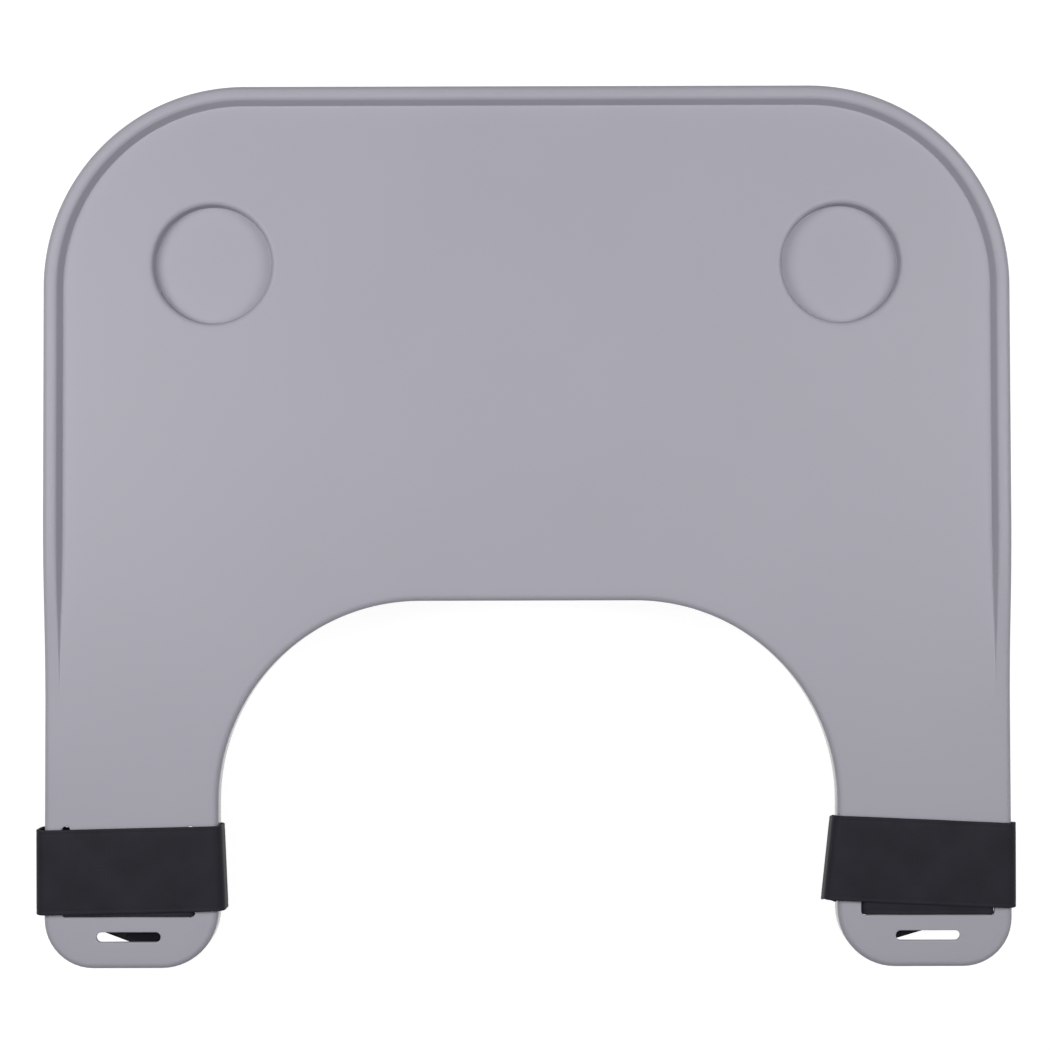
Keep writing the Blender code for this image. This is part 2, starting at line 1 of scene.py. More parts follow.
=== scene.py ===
"""Looks of a wheelchair tray table.

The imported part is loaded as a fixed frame, and finer pieces are built around it: the moulded tray
with its rim, recesses and slots, and on each arm a strap of black webbing with its hook tape, loop
tape and stitching. Lengths are millimetres times MM, in the frame's own axes: +X to the right of
the user, who sits in the cut-out, +Y forwards, +Z up, and height 0 at the straps' undersides.
"""

import random
from math import ceil, cos, hypot, pi, radians, sin, tan

import bmesh
import bpy
from mathutils import Matrix, Vector, noise


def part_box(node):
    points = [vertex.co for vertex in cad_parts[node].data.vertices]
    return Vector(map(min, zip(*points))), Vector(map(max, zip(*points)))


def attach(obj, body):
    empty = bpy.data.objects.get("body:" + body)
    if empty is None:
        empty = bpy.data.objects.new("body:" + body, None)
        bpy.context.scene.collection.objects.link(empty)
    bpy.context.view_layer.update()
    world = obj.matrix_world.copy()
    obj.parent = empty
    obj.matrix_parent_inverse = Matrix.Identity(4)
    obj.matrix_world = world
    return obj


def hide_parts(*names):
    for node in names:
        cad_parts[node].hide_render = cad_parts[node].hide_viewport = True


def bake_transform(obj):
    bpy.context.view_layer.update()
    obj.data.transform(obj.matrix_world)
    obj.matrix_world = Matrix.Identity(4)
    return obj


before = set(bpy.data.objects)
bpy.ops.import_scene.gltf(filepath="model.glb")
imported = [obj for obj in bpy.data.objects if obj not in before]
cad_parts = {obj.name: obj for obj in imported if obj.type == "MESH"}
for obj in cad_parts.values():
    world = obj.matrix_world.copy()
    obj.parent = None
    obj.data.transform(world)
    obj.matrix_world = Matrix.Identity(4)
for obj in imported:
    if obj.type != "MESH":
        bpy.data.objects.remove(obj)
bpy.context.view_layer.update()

MM = 0.001

# Tray outline, seen from above
TRAY_DEPTH = 526.9 * MM
FRONT_HALF_WIDTH = 287.3 * MM
REAR_HALF_WIDTH = 290.25 * MM
FRONT_CORNER_RADIUS = 119 * MM
ARM_WIDTH = 104.35 * MM
ARM_OUTER_RADIUS = 29.5 * MM
ARM_INNER_RADIUS = 34 * MM
WAIST_LENGTH = 219.9 * MM
WAIST_CORNER_RADIUS = 121.3 * MM
OUTLINE_STEP = 4 * MM

# Tray section
WALL = 3 * MM
SKIRT_DEPTH = 14 * MM
SKIRT_DRAFT = 0.25 * MM
LIP_RADIUS = 0.5 * MM
EDGE_RADIUS = 4 * MM
INSIDE_RADIUS = 0.8 * MM
FLAT_MARGIN = 1.5 * MM
RIM_HEIGHT = 7.5 * MM
RIM_CREST_INSET = 7.95 * MM
RIM_CREST_RADIUS = 3.2 * MM
RIM_SLOPE_RUN = 2.75 * MM
RIM_FOOT_RADIUS = 0.8 * MM
RIM_END_INSET = 9.3 * MM
RIM_END_SPREAD = 1.1 * MM
RIM_FADE_LEAD = 43.6 * MM
RIM_FADE_LENGTH = 102 * MM
FADE_EASE_SHARE = 0.5

# Cup recesses
CUP_SIDE_MARGIN = 99 * MM
CUP_FRONT_MARGIN = 105 * MM
CUP_MOUTH_RADIUS = 35.6 * MM
CUP_FLOOR_RADIUS = 35.2 * MM
CUP_DEPTH = 9.2 * MM
CUP_LIP_RADIUS = 3 * MM
CUP_FLOOR_FILLET = 0.6 * MM
BOWL_FILLET = 4 * MM

# Slots in the arms
STRAP_SLOT_LENGTH = 54.4 * MM
STRAP_SLOT_WIDTH = 5.2 * MM
STRAP_SLOT_OUTER_MARGIN = 13.75 * MM
STRAP_SLOT_INNER_MARGIN = 16.1 * MM
STRAP_SLOT_REAR_MARGIN = 58.3 * MM
SMALL_SLOT_LENGTH = 38.4 * MM
SMALL_SLOT_WIDTH = 5.9 * MM
SMALL_SLOT_GAP = 12 * MM
SLOT_EDGE = 0.6 * MM
SLOT_MARGIN = 0.4 * MM

# How many steps each rounding of the tray is drawn with, and how many sides its holes have
LIP_STEPS = 3
EDGE_STEPS = 8
RIM_CREST_STEPS = 5
RIM_FOOT_STEPS = 8
INSIDE_STEPS = 4
CUP_LIP_STEPS = 6
CUP_FLOOR_STEPS = 8
BOWL_STEPS = 8
SLOT_EDGE_STEPS = 3
CUP_SEGMENTS = 96
SLOT_SEGMENTS = 32

# Webbing, and the tapes sewn on it
WEBBING_WIDTH = 50.8 * MM
WEBBING_THICKNESS = 1.6 * MM
WEBBING_STEP = 2 * MM
TAPE_WIDTH = 48 * MM
TAPE_BACKING = 0.4 * MM
TAPE_EDGE = 0.12 * MM
HOOK_THICKNESS = 0.9 * MM
LOOP_THICKNESS = 0.8 * MM
LAY_GAP = 0.3 * MM
WRAP_GAP = 0.5 * MM
SEWN_GAP = 0.03 * MM
TAPE_TOP = SEWN_GAP + TAPE_BACKING

# Route of the webbing round an arm
SLOT_BEND_RADIUS = 2.6 * MM
SLOT_RUN_SHIFT = 1.4 * MM
END_BEND_RADIUS = 7 * MM
CROSS_BEND_RADIUS = 4 * MM
CROSS_DROP = 4 * MM
BEND_STEPS = 10
UNDER_CROSS_INSET = 7.1 * MM
FOLD_TOP_RADIUS = 5.5 * MM
INNER_UNDER_RADIUS = 2.8 * MM
OUTER_UNDER_RADIUS = 2.6 * MM
BAND_END_GAP = 26 * MM
BAND_STOP_INSET = 3.25 * MM
TAIL_LIFT = 0.2 * MM
TAIL_LENGTH = 60 * MM
TAIL_TURN_LENGTH = 12 * MM
TAIL_SWING_LENGTH = 20 * MM
TIP_LENGTH = 18 * MM
HOOK_START_MARGIN = 11 * MM
HOOK_END_MARGIN = 5 * MM
LOOP_END_MARGIN = 1.5 * MM
LOOP_BEND_MARGIN = 9 * MM

# Where a strap is split into pieces: its wrap, its tail and its tip
FOLD_SEAM_DROP = 6 * MM
TAIL_SEAM = 30 * MM

# How each strap happens to lie: how far its middle line lies in front of the slots' middle where
# it passes through them and at its two folds, how far it sags to the rear down each fold, and how
# far it bows out and is turned
LEFT_LAY = {
    "slot_shift": -1.3 * MM, "outer_shift": 0.0 * MM, "inner_shift": 2.2 * MM,
    "outer_sag": 0.2 * MM, "inner_sag": 0.3 * MM,
    "outer_bulge": 3.6 * MM, "inner_bulge": 2.9 * MM,
    "inner_turn": radians(2.4), "tail_turn": radians(21)}
RIGHT_LAY = {
    "slot_shift": -1.1 * MM, "outer_shift": 3.0 * MM, "inner_shift": 7.6 * MM,
    "outer_sag": 1.4 * MM, "inner_sag": 2.2 * MM,
    "outer_bulge": 1.3 * MM, "inner_bulge": 5.5 * MM,
    "inner_turn": radians(6.2), "tail_turn": radians(16.5)}

# The webbing's edge: each point is a distance in from the edge and a depth below the face
EDGE_PROFILE = (
    (0.0 * MM, 0.5 * MM), (0.08 * MM, 0.28 * MM), (0.28 * MM, 0.1 * MM), (0.6 * MM, 0.01 * MM),
    (1.0 * MM, 0.0 * MM), (1.5 * MM, 0.02 * MM), (1.9 * MM, 0.07 * MM), (2.3 * MM, 0.09 * MM),
    (2.8 * MM, 0.06 * MM), (3.4 * MM, 0.02 * MM), (5.0 * MM, 0.0 * MM))
FACE_STEPS = 8

# Each edge sways a little, by its own row of one noise
EDGE_SWAY = 0.25 * MM
SWAY_LENGTH = 28 * MM
FRONT_EDGE_ROW = 0
REAR_EDGE_ROW = 5

# Hooks, loops and thread: each loop leans by up to LOOP_LEAN, in radians
HOOK_WIRE = 0.17 * MM
HOOK_CURL_RADIUS = 0.17 * MM
HOOK_CURL_TURN = radians(215)
HOOK_CURL_STEPS = 5
HOOK_PITCH = 1.5 * MM
HOOK_ROW_PITCH = 1.35 * MM
LOOP_WIRE = 0.055 * MM
LOOP_CELL = 6 * MM
LOOPS_IN_CELL = 42
LOOP_SEED = 7
LOOP_LOWEST_SHARE = 0.7
LOOP_LEAN = 0.5
LOOP_SIDES = 3
LOOP_STEPS = 6
PILE_MARGIN = 2.2 * MM
STITCH_LENGTH = 2.7 * MM
STITCH_GAP = 0.5 * MM
STITCH_WIDTH = 0.5 * MM
STITCH_HEIGHT = 0.3 * MM
STITCH_MARGIN = 1.2 * MM

# Camera and light: the photograph is taken from straight above. Powers are in watts
CAMERA_X = -1.3 * MM
CAMERA_Y = 1.8 * MM
CAMERA_DISTANCE = 1200 * MM
VIEW_WIDTH = 628.2 * MM
CAMERA_ROLL = radians(-0.15)
SOFTBOX_X = 630 * MM
SOFTBOX_Y = 145 * MM
SOFTBOX_HEIGHT = 880 * MM
SOFTBOX_WIDTH = 460 * MM
SOFTBOX_DEPTH = 560 * MM
LEFT_POWER = 5.75
RIGHT_POWER = 4.5
OVERHEAD_Y = 100 * MM
OVERHEAD_HEIGHT = 1500 * MM
OVERHEAD_SIZE = 1400 * MM
OVERHEAD_POWER = 7.8
WORLD_LEVEL = 0.03
FLOOR_GLOW = 0.9
FLOOR_FADE_START = 900 * MM
FLOOR_FADE_END = 2400 * MM
FLOOR_DROP = 80 * MM
FLOOR_HALF_WIDTH = 4000 * MM

# Heights and places that follow from the frame and the sizes above
TRAY_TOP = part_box("tray_panel")[1].z - RIM_HEIGHT
FRONT_Y = TRAY_DEPTH / 2
REAR_Y = -TRAY_DEPTH / 2
WAIST_HALF_WIDTH = REAR_HALF_WIDTH - ARM_WIDTH
WAIST_FRONT_Y = REAR_Y + WAIST_LENGTH
RIM_FADE_START_Y = WAIST_FRONT_Y + RIM_FADE_LEAD
CUP_CENTRE_X = FRONT_HALF_WIDTH - CUP_SIDE_MARGIN
CUP_CENTRE_Y = FRONT_Y - CUP_FRONT_MARGIN
STRAP_SLOT_OUTER_X = REAR_HALF_WIDTH - STRAP_SLOT_OUTER_MARGIN
STRAP_SLOT_INNER_X = WAIST_HALF_WIDTH + STRAP_SLOT_INNER_MARGIN
STRAP_SLOT_Y = REAR_Y + STRAP_SLOT_REAR_MARGIN
SMALL_SLOT_X = (STRAP_SLOT_OUTER_X + STRAP_SLOT_INNER_X) / 2
SMALL_SLOT_Y = STRAP_SLOT_Y - STRAP_SLOT_LENGTH / 2 - SMALL_SLOT_GAP
SKIRT_Z = TRAY_TOP - SKIRT_DEPTH
UNDER_Z = TRAY_TOP - WALL
RIM_Z = TRAY_TOP + RIM_HEIGHT
FIRST_LAYER_Z = TRAY_TOP + LAY_GAP + WEBBING_THICKNESS / 2
WRAP_TOP_Z = FIRST_LAYER_Z + WEBBING_THICKNESS + LAY_GAP
WRAP_UNDER_Z = SKIRT_Z - WRAP_GAP - WEBBING_THICKNESS / 2
TAIL_Z = WRAP_UNDER_Z + TAIL_LIFT
HOOK_BASE_Z = TAIL_Z + WEBBING_THICKNESS / 2
HOOK_TOP_Z = HOOK_BASE_Z + LAY_GAP + HOOK_THICKNESS
LOOP_LOW_Z = HOOK_TOP_Z + LAY_GAP
LOOP_BASE_Z = LOOP_LOW_Z + LOOP_THICKNESS + LAY_GAP
END_Z = LOOP_BASE_Z + WEBBING_THICKNESS / 2
BAND_END_X = STRAP_SLOT_INNER_X + BAND_END_GAP
BAND_STOP_X = REAR_HALF_WIDTH - BAND_STOP_INSET
TAIL_START_X = BAND_STOP_X - LAY_GAP
LOOP_START_X = BAND_END_X + LOOP_END_MARGIN
LOOP_STOP_X = STRAP_SLOT_OUTER_X - LOOP_BEND_MARGIN


def linear_colour(hex_colour):
    """An sRGB hex colour as the linear RGBA that a shader takes."""
    channels = []
    for start in (1, 3, 5):
        value = int(hex_colour[start:start + 2], 16) / 255
        channels.append(value / 12.92 if value <= 0.04045 else ((value + 0.055) / 1.055) ** 2.4)
    return (*channels, 1)


def add_node(tree, kind, sockets=None, **settings):
    """Adds a node: sockets takes values and links by input name or number."""
    node = tree.nodes.new(kind)
    for name, value in settings.items():
        setattr(node, name, value)
    for name, value in (sockets or {}).items():
        if isinstance(value, bpy.types.NodeSocket):
            tree.links.new(value, node.inputs[name])
        else:
            node.inputs[name].default_value = value
    return node


def new_material(name, **values):
    """A material with a Principled shader, whose even values are set on its own sockets."""
    material = bpy.data.materials.new(name)
    material.use_nodes = True
    shader = material.node_tree.nodes["Principled BSDF"]
    for socket, value in values.items():
        shader.inputs[socket.replace("_", " ")].default_value = value
    return material, material.node_tree, shader


def moulded_plastic():
    """Grey polypropylene from a spark-eroded mould: an even satin grey with a fine grain.

    The grain of the mould is about 0.2 mm. It is drawn at 0.7 mm, so that it just shows. A broad
    unevenness of colour and gloss comes from how the plastic flowed and cooled. Seen along the
    surface, as on rounded edges and walls, it reflects more sharply.
    """
    flow_width = 90 * MM
    grain_width = 0.7 * MM
    grain_depth = 0.05 * MM
    material, tree, shader = new_material(
        "moulded_grey_polypropylene", Specular_IOR_Level=0.2, IOR=1.49)
    place = add_node(tree, "ShaderNodeTexCoord").outputs["Object"]
    flow = add_node(tree, "ShaderNodeTexNoise", {
        "Vector": place, "Scale": 1 / flow_width, "Detail": 2.0, "Roughness": 0.5})
    flow_range = add_node(tree, "ShaderNodeMapRange", {
        "Value": flow.outputs["Fac"], "From Min": 0.3, "From Max": 0.7})
    grain = add_node(tree, "ShaderNodeTexNoise", {
        "Vector": place, "Scale": 1 / grain_width, "Detail": 1.0, "Roughness": 0.6})
    colour = add_node(tree, "ShaderNodeMix", {
        "Factor": flow_range.outputs["Result"],
        "A": linear_colour("#A4A3AD"), "B": linear_colour("#A6A5AF")}, data_type="RGBA")
    speck = add_node(tree, "ShaderNodeMapRange", {
        "Value": grain.outputs["Fac"], "From Min": 0.25, "From Max": 0.75,
        "To Min": 0.0, "To Max": 0.06})
    speckled = add_node(tree, "ShaderNodeMix", {
        "Factor": speck.outputs["Result"], "A": colour.outputs["Result"],
        "B": linear_colour("#7D7C86")}, data_type="RGBA")
    gloss = add_node(tree, "ShaderNodeMapRange", {
        "Value": flow.outputs["Fac"], "From Min": 0.3, "From Max": 0.7,
        "To Min": 0.40, "To Max": 0.45})
    facing = add_node(tree, "ShaderNodeLayerWeight", {"Blend": 0.5}).outputs["Facing"]
    grazing_gloss = add_node(tree, "ShaderNodeMapRange", {
        "Value": facing, "From Min": 0.76, "From Max": 0.84,
        "To Min": gloss.outputs["Result"], "To Max": 0.08})
    bump = add_node(tree, "ShaderNodeBump", {
        "Height": grain.outputs["Fac"], "Strength": 0.35, "Distance": grain_depth})
    tree.links.new(speckled.outputs["Result"], shader.inputs["Base Color"])
    tree.links.new(grazing_gloss.outputs["Result"], shader.inputs["Roughness"])
    tree.links.new(bump.outputs["Normal"], shader.inputs["Normal"])
    return material


def woven_webbing():
    """Black nylon webbing, woven flat and tight: dull, and a little lighter where it is rubbed.

    Its threads cross every 0.55 mm. They are drawn every 0.8 mm, so that they just show, with
    painted shade in the hollows between them.
    """
    thread = 0.8 * MM
    fibre = 0.5 * MM
    weave_depth = 0.1 * MM
    rubbed_width = 22 * MM
    material, tree, shader = new_material(
        "black_nylon_webbing", Roughness=0.55, Specular_IOR_Level=0.1, IOR=1.53)
    place = add_node(tree, "ShaderNodeTexCoord").outputs["UV"]
    scaled = add_node(tree, "ShaderNodeVectorMath", {
        0: place, 1: (pi / thread, pi / thread, 0)}, operation="MULTIPLY")
    axes = add_node(tree, "ShaderNodeSeparateXYZ", {0: scaled.outputs[0]})
    along = add_node(tree, "ShaderNodeMath", {0: axes.outputs["X"]}, operation="SINE")
    across = add_node(tree, "ShaderNodeMath", {0: axes.outputs["Y"]}, operation="SINE")
    crossing = add_node(tree, "ShaderNodeMath", {
        0: along.outputs[0], 1: across.outputs[0]}, operation="MULTIPLY")
    fibres = add_node(tree, "ShaderNodeTexNoise", {
        "Vector": place, "Scale": 1 / fibre, "Detail": 2.0})
    wear = add_node(tree, "ShaderNodeTexNoise", {
        "Vector": place, "Scale": 1 / rubbed_width, "Detail": 2.0})
    weave = add_node(tree, "ShaderNodeMapRange", {
        "Value": crossing.outputs[0], "From Min": -1.0, "From Max": 1.0})
    height = add_node(tree, "ShaderNodeMath", {
        0: fibres.outputs["Fac"], 1: 0.5, 2: weave.outputs["Result"]}, operation="MULTIPLY_ADD")
    # Painted shade: the colour follows the weave's height, darker in the hollows between the
    # threads.
    colour = add_node(tree, "ShaderNodeMix", {
        "Factor": weave.outputs["Result"],
        "A": linear_colour("#15141A"), "B": linear_colour("#212027")}, data_type="RGBA")
    worn_share = add_node(tree, "ShaderNodeMapRange", {
        "Value": wear.outputs["Fac"], "From Min": 0.35, "From Max": 0.65,
        "To Min": 0.0, "To Max": 0.6})
    worn = add_node(tree, "ShaderNodeMix", {
        "Factor": worn_share.outputs["Result"], "A": colour.outputs["Result"],
        "B": linear_colour("#25242B")}, data_type="RGBA")
    bump = add_node(tree, "ShaderNodeBump", {
        "Height": height.outputs[0], "Strength": 0.5, "Distance": weave_depth})
    tree.links.new(worn.outputs["Result"], shader.inputs["Base Color"])
    tree.links.new(bump.outputs["Normal"], shader.inputs["Normal"])
    return material


def tape_backing():
    """Woven nylon under the hooks and the loops: matt black with cross ribs, painted darker in
    their hollows as shade.

    The ribs are about 0.7 mm apart. They are drawn every 4.4 mm, so that they show. A wave
    texture turns through 20 radians for each unit of its scaled place.
    """
    rib_pitch = 4.4 * MM
    rib_depth = 0.08 * MM
    material, tree, shader = new_material("black_nylon_tape", Roughness=0.8, IOR=1.53)
    place = add_node(tree, "ShaderNodeTexCoord").outputs["Object"]
    ribs = add_node(tree, "ShaderNodeTexWave", {
        "Vector": place, "Scale": 2 * pi / (20 * rib_pitch), "Distortion": 0.4})
    # Painted shade: the colour follows the ribs, darker in the hollows between them.
    colour = add_node(tree, "ShaderNodeMix", {
        "Factor": ribs.outputs["Fac"],
        "A": linear_colour("#141416"), "B": linear_colour("#1F1F22")}, data_type="RGBA")
    bump = add_node(tree, "ShaderNodeBump", {
        "Height": ribs.outputs["Fac"], "Strength": 0.5, "Distance": rib_depth})
    tree.links.new(colour.outputs["Result"], shader.inputs["Base Color"])
    tree.links.new(bump.outputs["Normal"], shader.inputs["Normal"])
    return material


def drawn_monofilament():
    """Nylon monofilament, drawn and cut into hooks: black, smooth and a little glossy."""
    batch_width = 4 * MM
    material, tree, shader = new_material("black_nylon_monofilament", Roughness=0.35, IOR=1.53)
    place = add_node(tree, "ShaderNodeTexCoord").outputs["Object"]
    batch = add_node(tree, "ShaderNodeTexNoise", {"Vector": place, "Scale": 1 / batch_width})
    colour = add_node(tree, "ShaderNodeMix", {
        "Factor": batch.outputs["Fac"],
        "A": linear_colour("#18181A"), "B": linear_colour("#29292D")}, data_type="RGBA")
    tree.links.new(colour.outputs["Result"], shader.inputs["Base Color"])
    return material


def brushed_loops():
    """Nylon loops, brushed up into a nap: black, with a soft grey sheen."""
    tuft_width = 2.5 * MM
    material, tree, shader = new_material(
        "black_brushed_nylon", Roughness=0.9, Sheen_Weight=0.5, Sheen_Roughness=0.5,
        Sheen_Tint=linear_colour("#8C8A94"), IOR=1.53)
    place = add_node(tree, "ShaderNodeTexCoord").outputs["Object"]
    tufts = add_node(tree, "ShaderNodeTexNoise", {"Vector": place, "Scale": 1 / tuft_width})
    colour = add_node(tree, "ShaderNodeMix", {
        "Factor": tufts.outputs["Fac"],
        "A": linear_colour("#19191B"), "B": linear_colour("#333237")}, data_type="RGBA")
    tree.links.new(colour.outputs["Result"], shader.inputs["Base Color"])
    return material


def sewing_thread():
    """Bonded polyester thread, twisted: black with a slight gloss, painted lighter on its raised
    plies and darker between them.
    """
    ply_width = 0.3 * MM
    ply_depth = 0.05 * MM
    material, tree, shader = new_material("black_polyester_thread", Roughness=0.5, IOR=1.54)
    place = add_node(tree, "ShaderNodeTexCoord").outputs["Object"]
    twist = add_node(tree, "ShaderNodeTexNoise", {"Vector": place, "Scale": 1 / ply_width})
    # Painted light and shade: the colour follows the twist, lighter on the raised plies and darker
    # between them.
    colour = add_node(tree, "ShaderNodeMix", {
        "Factor": twist.outputs["Fac"],
        "A": linear_colour("#1B1B1E"), "B": linear_colour("#38373C")}, data_type="RGBA")
    bump = add_node(tree, "ShaderNodeBump", {
        "Height": twist.outputs["Fac"], "Strength": 0.5, "Distance": ply_depth})
    tree.links.new(colour.outputs["Result"], shader.inputs["Base Color"])
    tree.links.new(bump.outputs["Normal"], shader.inputs["Normal"])
    return material


def add_piece(name, shape, material, side=1):
    """Turns a bmesh into a smooth piece, mirrored for the left arm, with its place in its mesh."""
    bmesh.ops.scale(shape, verts=shape.verts, vec=(side, 1, 1))
    bmesh.ops.recalc_face_normals(shape, faces=shape.faces)
    mesh = bpy.data.meshes.new(name)
    shape.to_mesh(mesh)
    shape.free()
    mesh.materials.append(material)
    mesh.shade_smooth()
    piece = bpy.data.objects.new(name, mesh)
    bpy.context.scene.collection.objects.link(piece)
    return piece


def rounded_path(corners):
    """Points along a path whose corners are rounded: each corner is (point, radius, steps)."""
    path = [corners[0][0]]
    for before, corner, after in zip(corners, corners[1:], corners[2:]):
        point, radius, steps = corner
        arriving = (point - before[0]).normalized()
        leaving = (after[0] - point).normalized()
        turn = arriving.angle_signed(leaving)
        start = point - arriving * radius * tan(abs(turn) / 2)
        side = Vector((-arriving.y, arriving.x))
        if turn > 0:
            side = -side
        centre = start + side * radius
        for step in range(steps + 1):
            spoke = Matrix.Rotation(-turn * step / steps, 2) @ (start - centre)
            path.append(centre + spoke)
    path.append(corners[-1][0])
    return path


def squeezed(count, middle, spread, height):
    """Points that lie close together on a flat face, where the rim has faded out."""
    points = []
    for index in range(count):
        points.append(Vector((middle + spread * (index / (count - 1) - 0.5), height)))
    return points


def outer_section():
    """Upper section of the tray's edge, lip to panel, as (inset, height): rimmed and plain."""
    foot_inset = RIM_CREST_INSET + RIM_SLOPE_RUN
    lip = [
        (Vector((WALL / 2, SKIRT_Z)), 0, 0),
        (Vector((-SKIRT_DRAFT, SKIRT_Z)), LIP_RADIUS, LIP_STEPS),
    ]
    rimmed = rounded_path(lip + [
        (Vector((0, RIM_Z)), EDGE_RADIUS, EDGE_STEPS),
        (Vector((RIM_CREST_INSET, RIM_Z)), RIM_CREST_RADIUS, RIM_CREST_STEPS),
        (Vector((foot_inset, TRAY_TOP)), RIM_FOOT_RADIUS, RIM_FOOT_STEPS),
        (Vector((foot_inset + RIM_FOOT_RADIUS, TRAY_TOP)), 0, 0),
    ])
    plain = rounded_path(lip + [
        (Vector((0, TRAY_TOP)), EDGE_RADIUS, EDGE_STEPS),
        (Vector((RIM_END_INSET, TRAY_TOP)), 0, 0),
    ])[:-1]
    plain += squeezed(len(rimmed) - len(plain), RIM_END_INSET, RIM_END_SPREAD, TRAY_TOP)
    return rimmed[1:], plain[1:]


def inner_section():
    """Under section of the tray's edge, lip to panel: one wall inside the outer section."""
    slope = hypot(RIM_SLOPE_RUN, RIM_HEIGHT)
    run_per_height = RIM_SLOPE_RUN / RIM_HEIGHT
    hollow_z = RIM_Z - WALL
    hollow_inset = RIM_CREST_INSET + WALL * run_per_height - WALL * slope / RIM_HEIGHT
    foot_inset = hollow_inset + RIM_HEIGHT * run_per_height
    flat_inset = foot_inset + WALL + FLAT_MARGIN
    lip = [
        (Vector((WALL / 2, SKIRT_Z)), 0, 0),
        (Vector((WALL - SKIRT_DRAFT, SKIRT_Z)), LIP_RADIUS, LIP_STEPS),
    ]
    rimmed = rounded_path(lip + [
        (Vector((WALL, hollow_z)), INSIDE_RADIUS, INSIDE_STEPS),
        (Vector((hollow_inset, hollow_z)), INSIDE_RADIUS, INSIDE_STEPS),
        (Vector((foot_inset, UNDER_Z)), INSIDE_RADIUS, INSIDE_STEPS),
        (Vector((flat_inset, UNDER_Z)), 0, 0),
    ])
    plain = rounded_path(lip + [
        (Vector((WALL, UNDER_Z)), INSIDE_RADIUS, INSIDE_STEPS),
        (Vector((RIM_END_INSET, UNDER_Z)), 0, 0),
    ])[:-1]
    plain += squeezed(len(rimmed) - len(plain), foot_inset, RIM_END_SPREAD, UNDER_Z)
    return rimmed[1:], plain[1:]


def tray_outline(tray):
    """One flat face with the tray's outline: its corners rounded, its long sides in steps."""
    corners = [
        ((FRONT_HALF_WIDTH, FRONT_Y), FRONT_CORNER_RADIUS),
        ((-FRONT_HALF_WIDTH, FRONT_Y), FRONT_CORNER_RADIUS),
        ((-REAR_HALF_WIDTH, REAR_Y), ARM_OUTER_RADIUS),
        ((-WAIST_HALF_WIDTH, REAR_Y), ARM_INNER_RADIUS),
        ((-WAIST_HALF_WIDTH, WAIST_FRONT_Y), WAIST_CORNER_RADIUS),
        ((WAIST_HALF_WIDTH, WAIST_FRONT_Y), WAIST_CORNER_RADIUS),
        ((WAIST_HALF_WIDTH, REAR_Y), ARM_INNER_RADIUS),
        ((REAR_HALF_WIDTH, REAR_Y), ARM_OUTER_RADIUS),
    ]
    corner_verts = [tray.verts.new((x, y, SKIRT_Z)) for (x, y), _ in corners]
    tray.faces.new(corner_verts)
    for vert, (_, radius) in zip(corner_verts, corners):
        steps = ceil(radius * pi / 2 / OUTLINE_STEP)
        bmesh.ops.bevel(
            tray, geom=[vert], affect="VERTICES", offset=radius, segments=steps,
            profile=0.5, material=-1)
    for edge in list(tray.edges):
        cuts = int(edge.calc_length() / OUTLINE_STEP)
        if cuts > 1:
            bmesh.ops.subdivide_edges(tray, edges=[edge], cuts=cuts)
    tray.faces.ensure_lookup_table()
    return tray.faces[0]


def rim_share(corner, outward):
    """Share of the full rim height at a point of the outline: it fades out along both sides."""
    if corner.y >= RIM_FADE_START_Y:
        return 1.0
    if corner.x * outward.x <= 0:
        return 0.0
    distance_share = min((RIM_FADE_START_Y - corner.y) / RIM_FADE_LENGTH, 1.0)
    ease = sin(2 * pi * distance_share) / (2 * pi)
    return 1 - distance_share + ease * FADE_EASE_SHARE


def outline_samples(face):
    """Each corner of the outline, with its outward direction and the rim's share there."""
    corners = [vert.co.xy for vert in face.verts]
    samples = []
    for index, corner in enumerate(corners):
        arriving = (corner - corners[index - 1]).normalized()
        leaving = (corners[(index + 1) % len(corners)] - corner).normalized()
        along = (arriving + leaving).normalized()
        outward = Vector((along.y, -along.x))
        samples.append((corner, outward, rim_share(corner, outward)))
    return samples


def mould_edge(tray, face, samples, section):
    """Insets the face through the points of a section, each as high as the rim is there."""
    for rimmed, plain in zip(*section):
        bmesh.ops.inset_individual(tray, faces=[face], thickness=LIP_RADIUS)
        for vert, (corner, outward, share) in zip(face.verts, samples):
            inset, height = plain.lerp(rimmed, share)
            vert.co = (*(corner - outward * inset), height)


def pierce(tray, face, holes):
    """Fills a flat face anew round the outlines of its holes."""
    edges = list(face.edges)
    bmesh.ops.delete(tray, geom=[face], context="FACES_ONLY")
    for hole in holes:
        edges += hole
    bmesh.ops.triangle_fill(tray, edges=edges, use_beauty=True)


def start_ring(tray, ends, radius, segments):
    """A ring of edges. Gives them, and the end and outward direction that each vertex follows."""
    middle = sum(ends, Vector((0, 0))) / len(ends)
    placing = Matrix.Translation(middle.to_3d()) @ Matrix.Rotation(pi / segments, 4, "Z")
    ring = bmesh.ops.create_circle(
        tray, segments=segments, radius=radius, matrix=placing)["verts"]
    spokes = {}
    for vert in ring:
        spoke = vert.co.xy - middle
        end = max(ends, key=(lambda point: (point - middle).dot(spoke)))
        spokes[vert] = (end, spoke.normalized())
    return list(dict.fromkeys(edge for vert in ring for edge in vert.link_edges)), spokes


def grow_ring(tray, edges, spokes):
    """Draws a wall out of a ring of edges. Gives the new ring's edges and its vertices' spokes."""
    grown = bmesh.ops.extrude_edge_only(tray, edges=edges)["geom"]
    ring = [item for item in grown if isinstance(item, bmesh.types.BMVert)]
    risers = list(dict.fromkeys(edge for vert in ring for edge in vert.link_edges))
    grown_spokes = {}
    for edge in risers:
        vert, parent = edge.verts if edge.verts[0] in ring else reversed(edge.verts)
        if parent in spokes:
            grown_spokes[vert] = spokes[parent]
    return [edge for edge in risers if all(vert in ring for vert in edge.verts)], grown_spokes


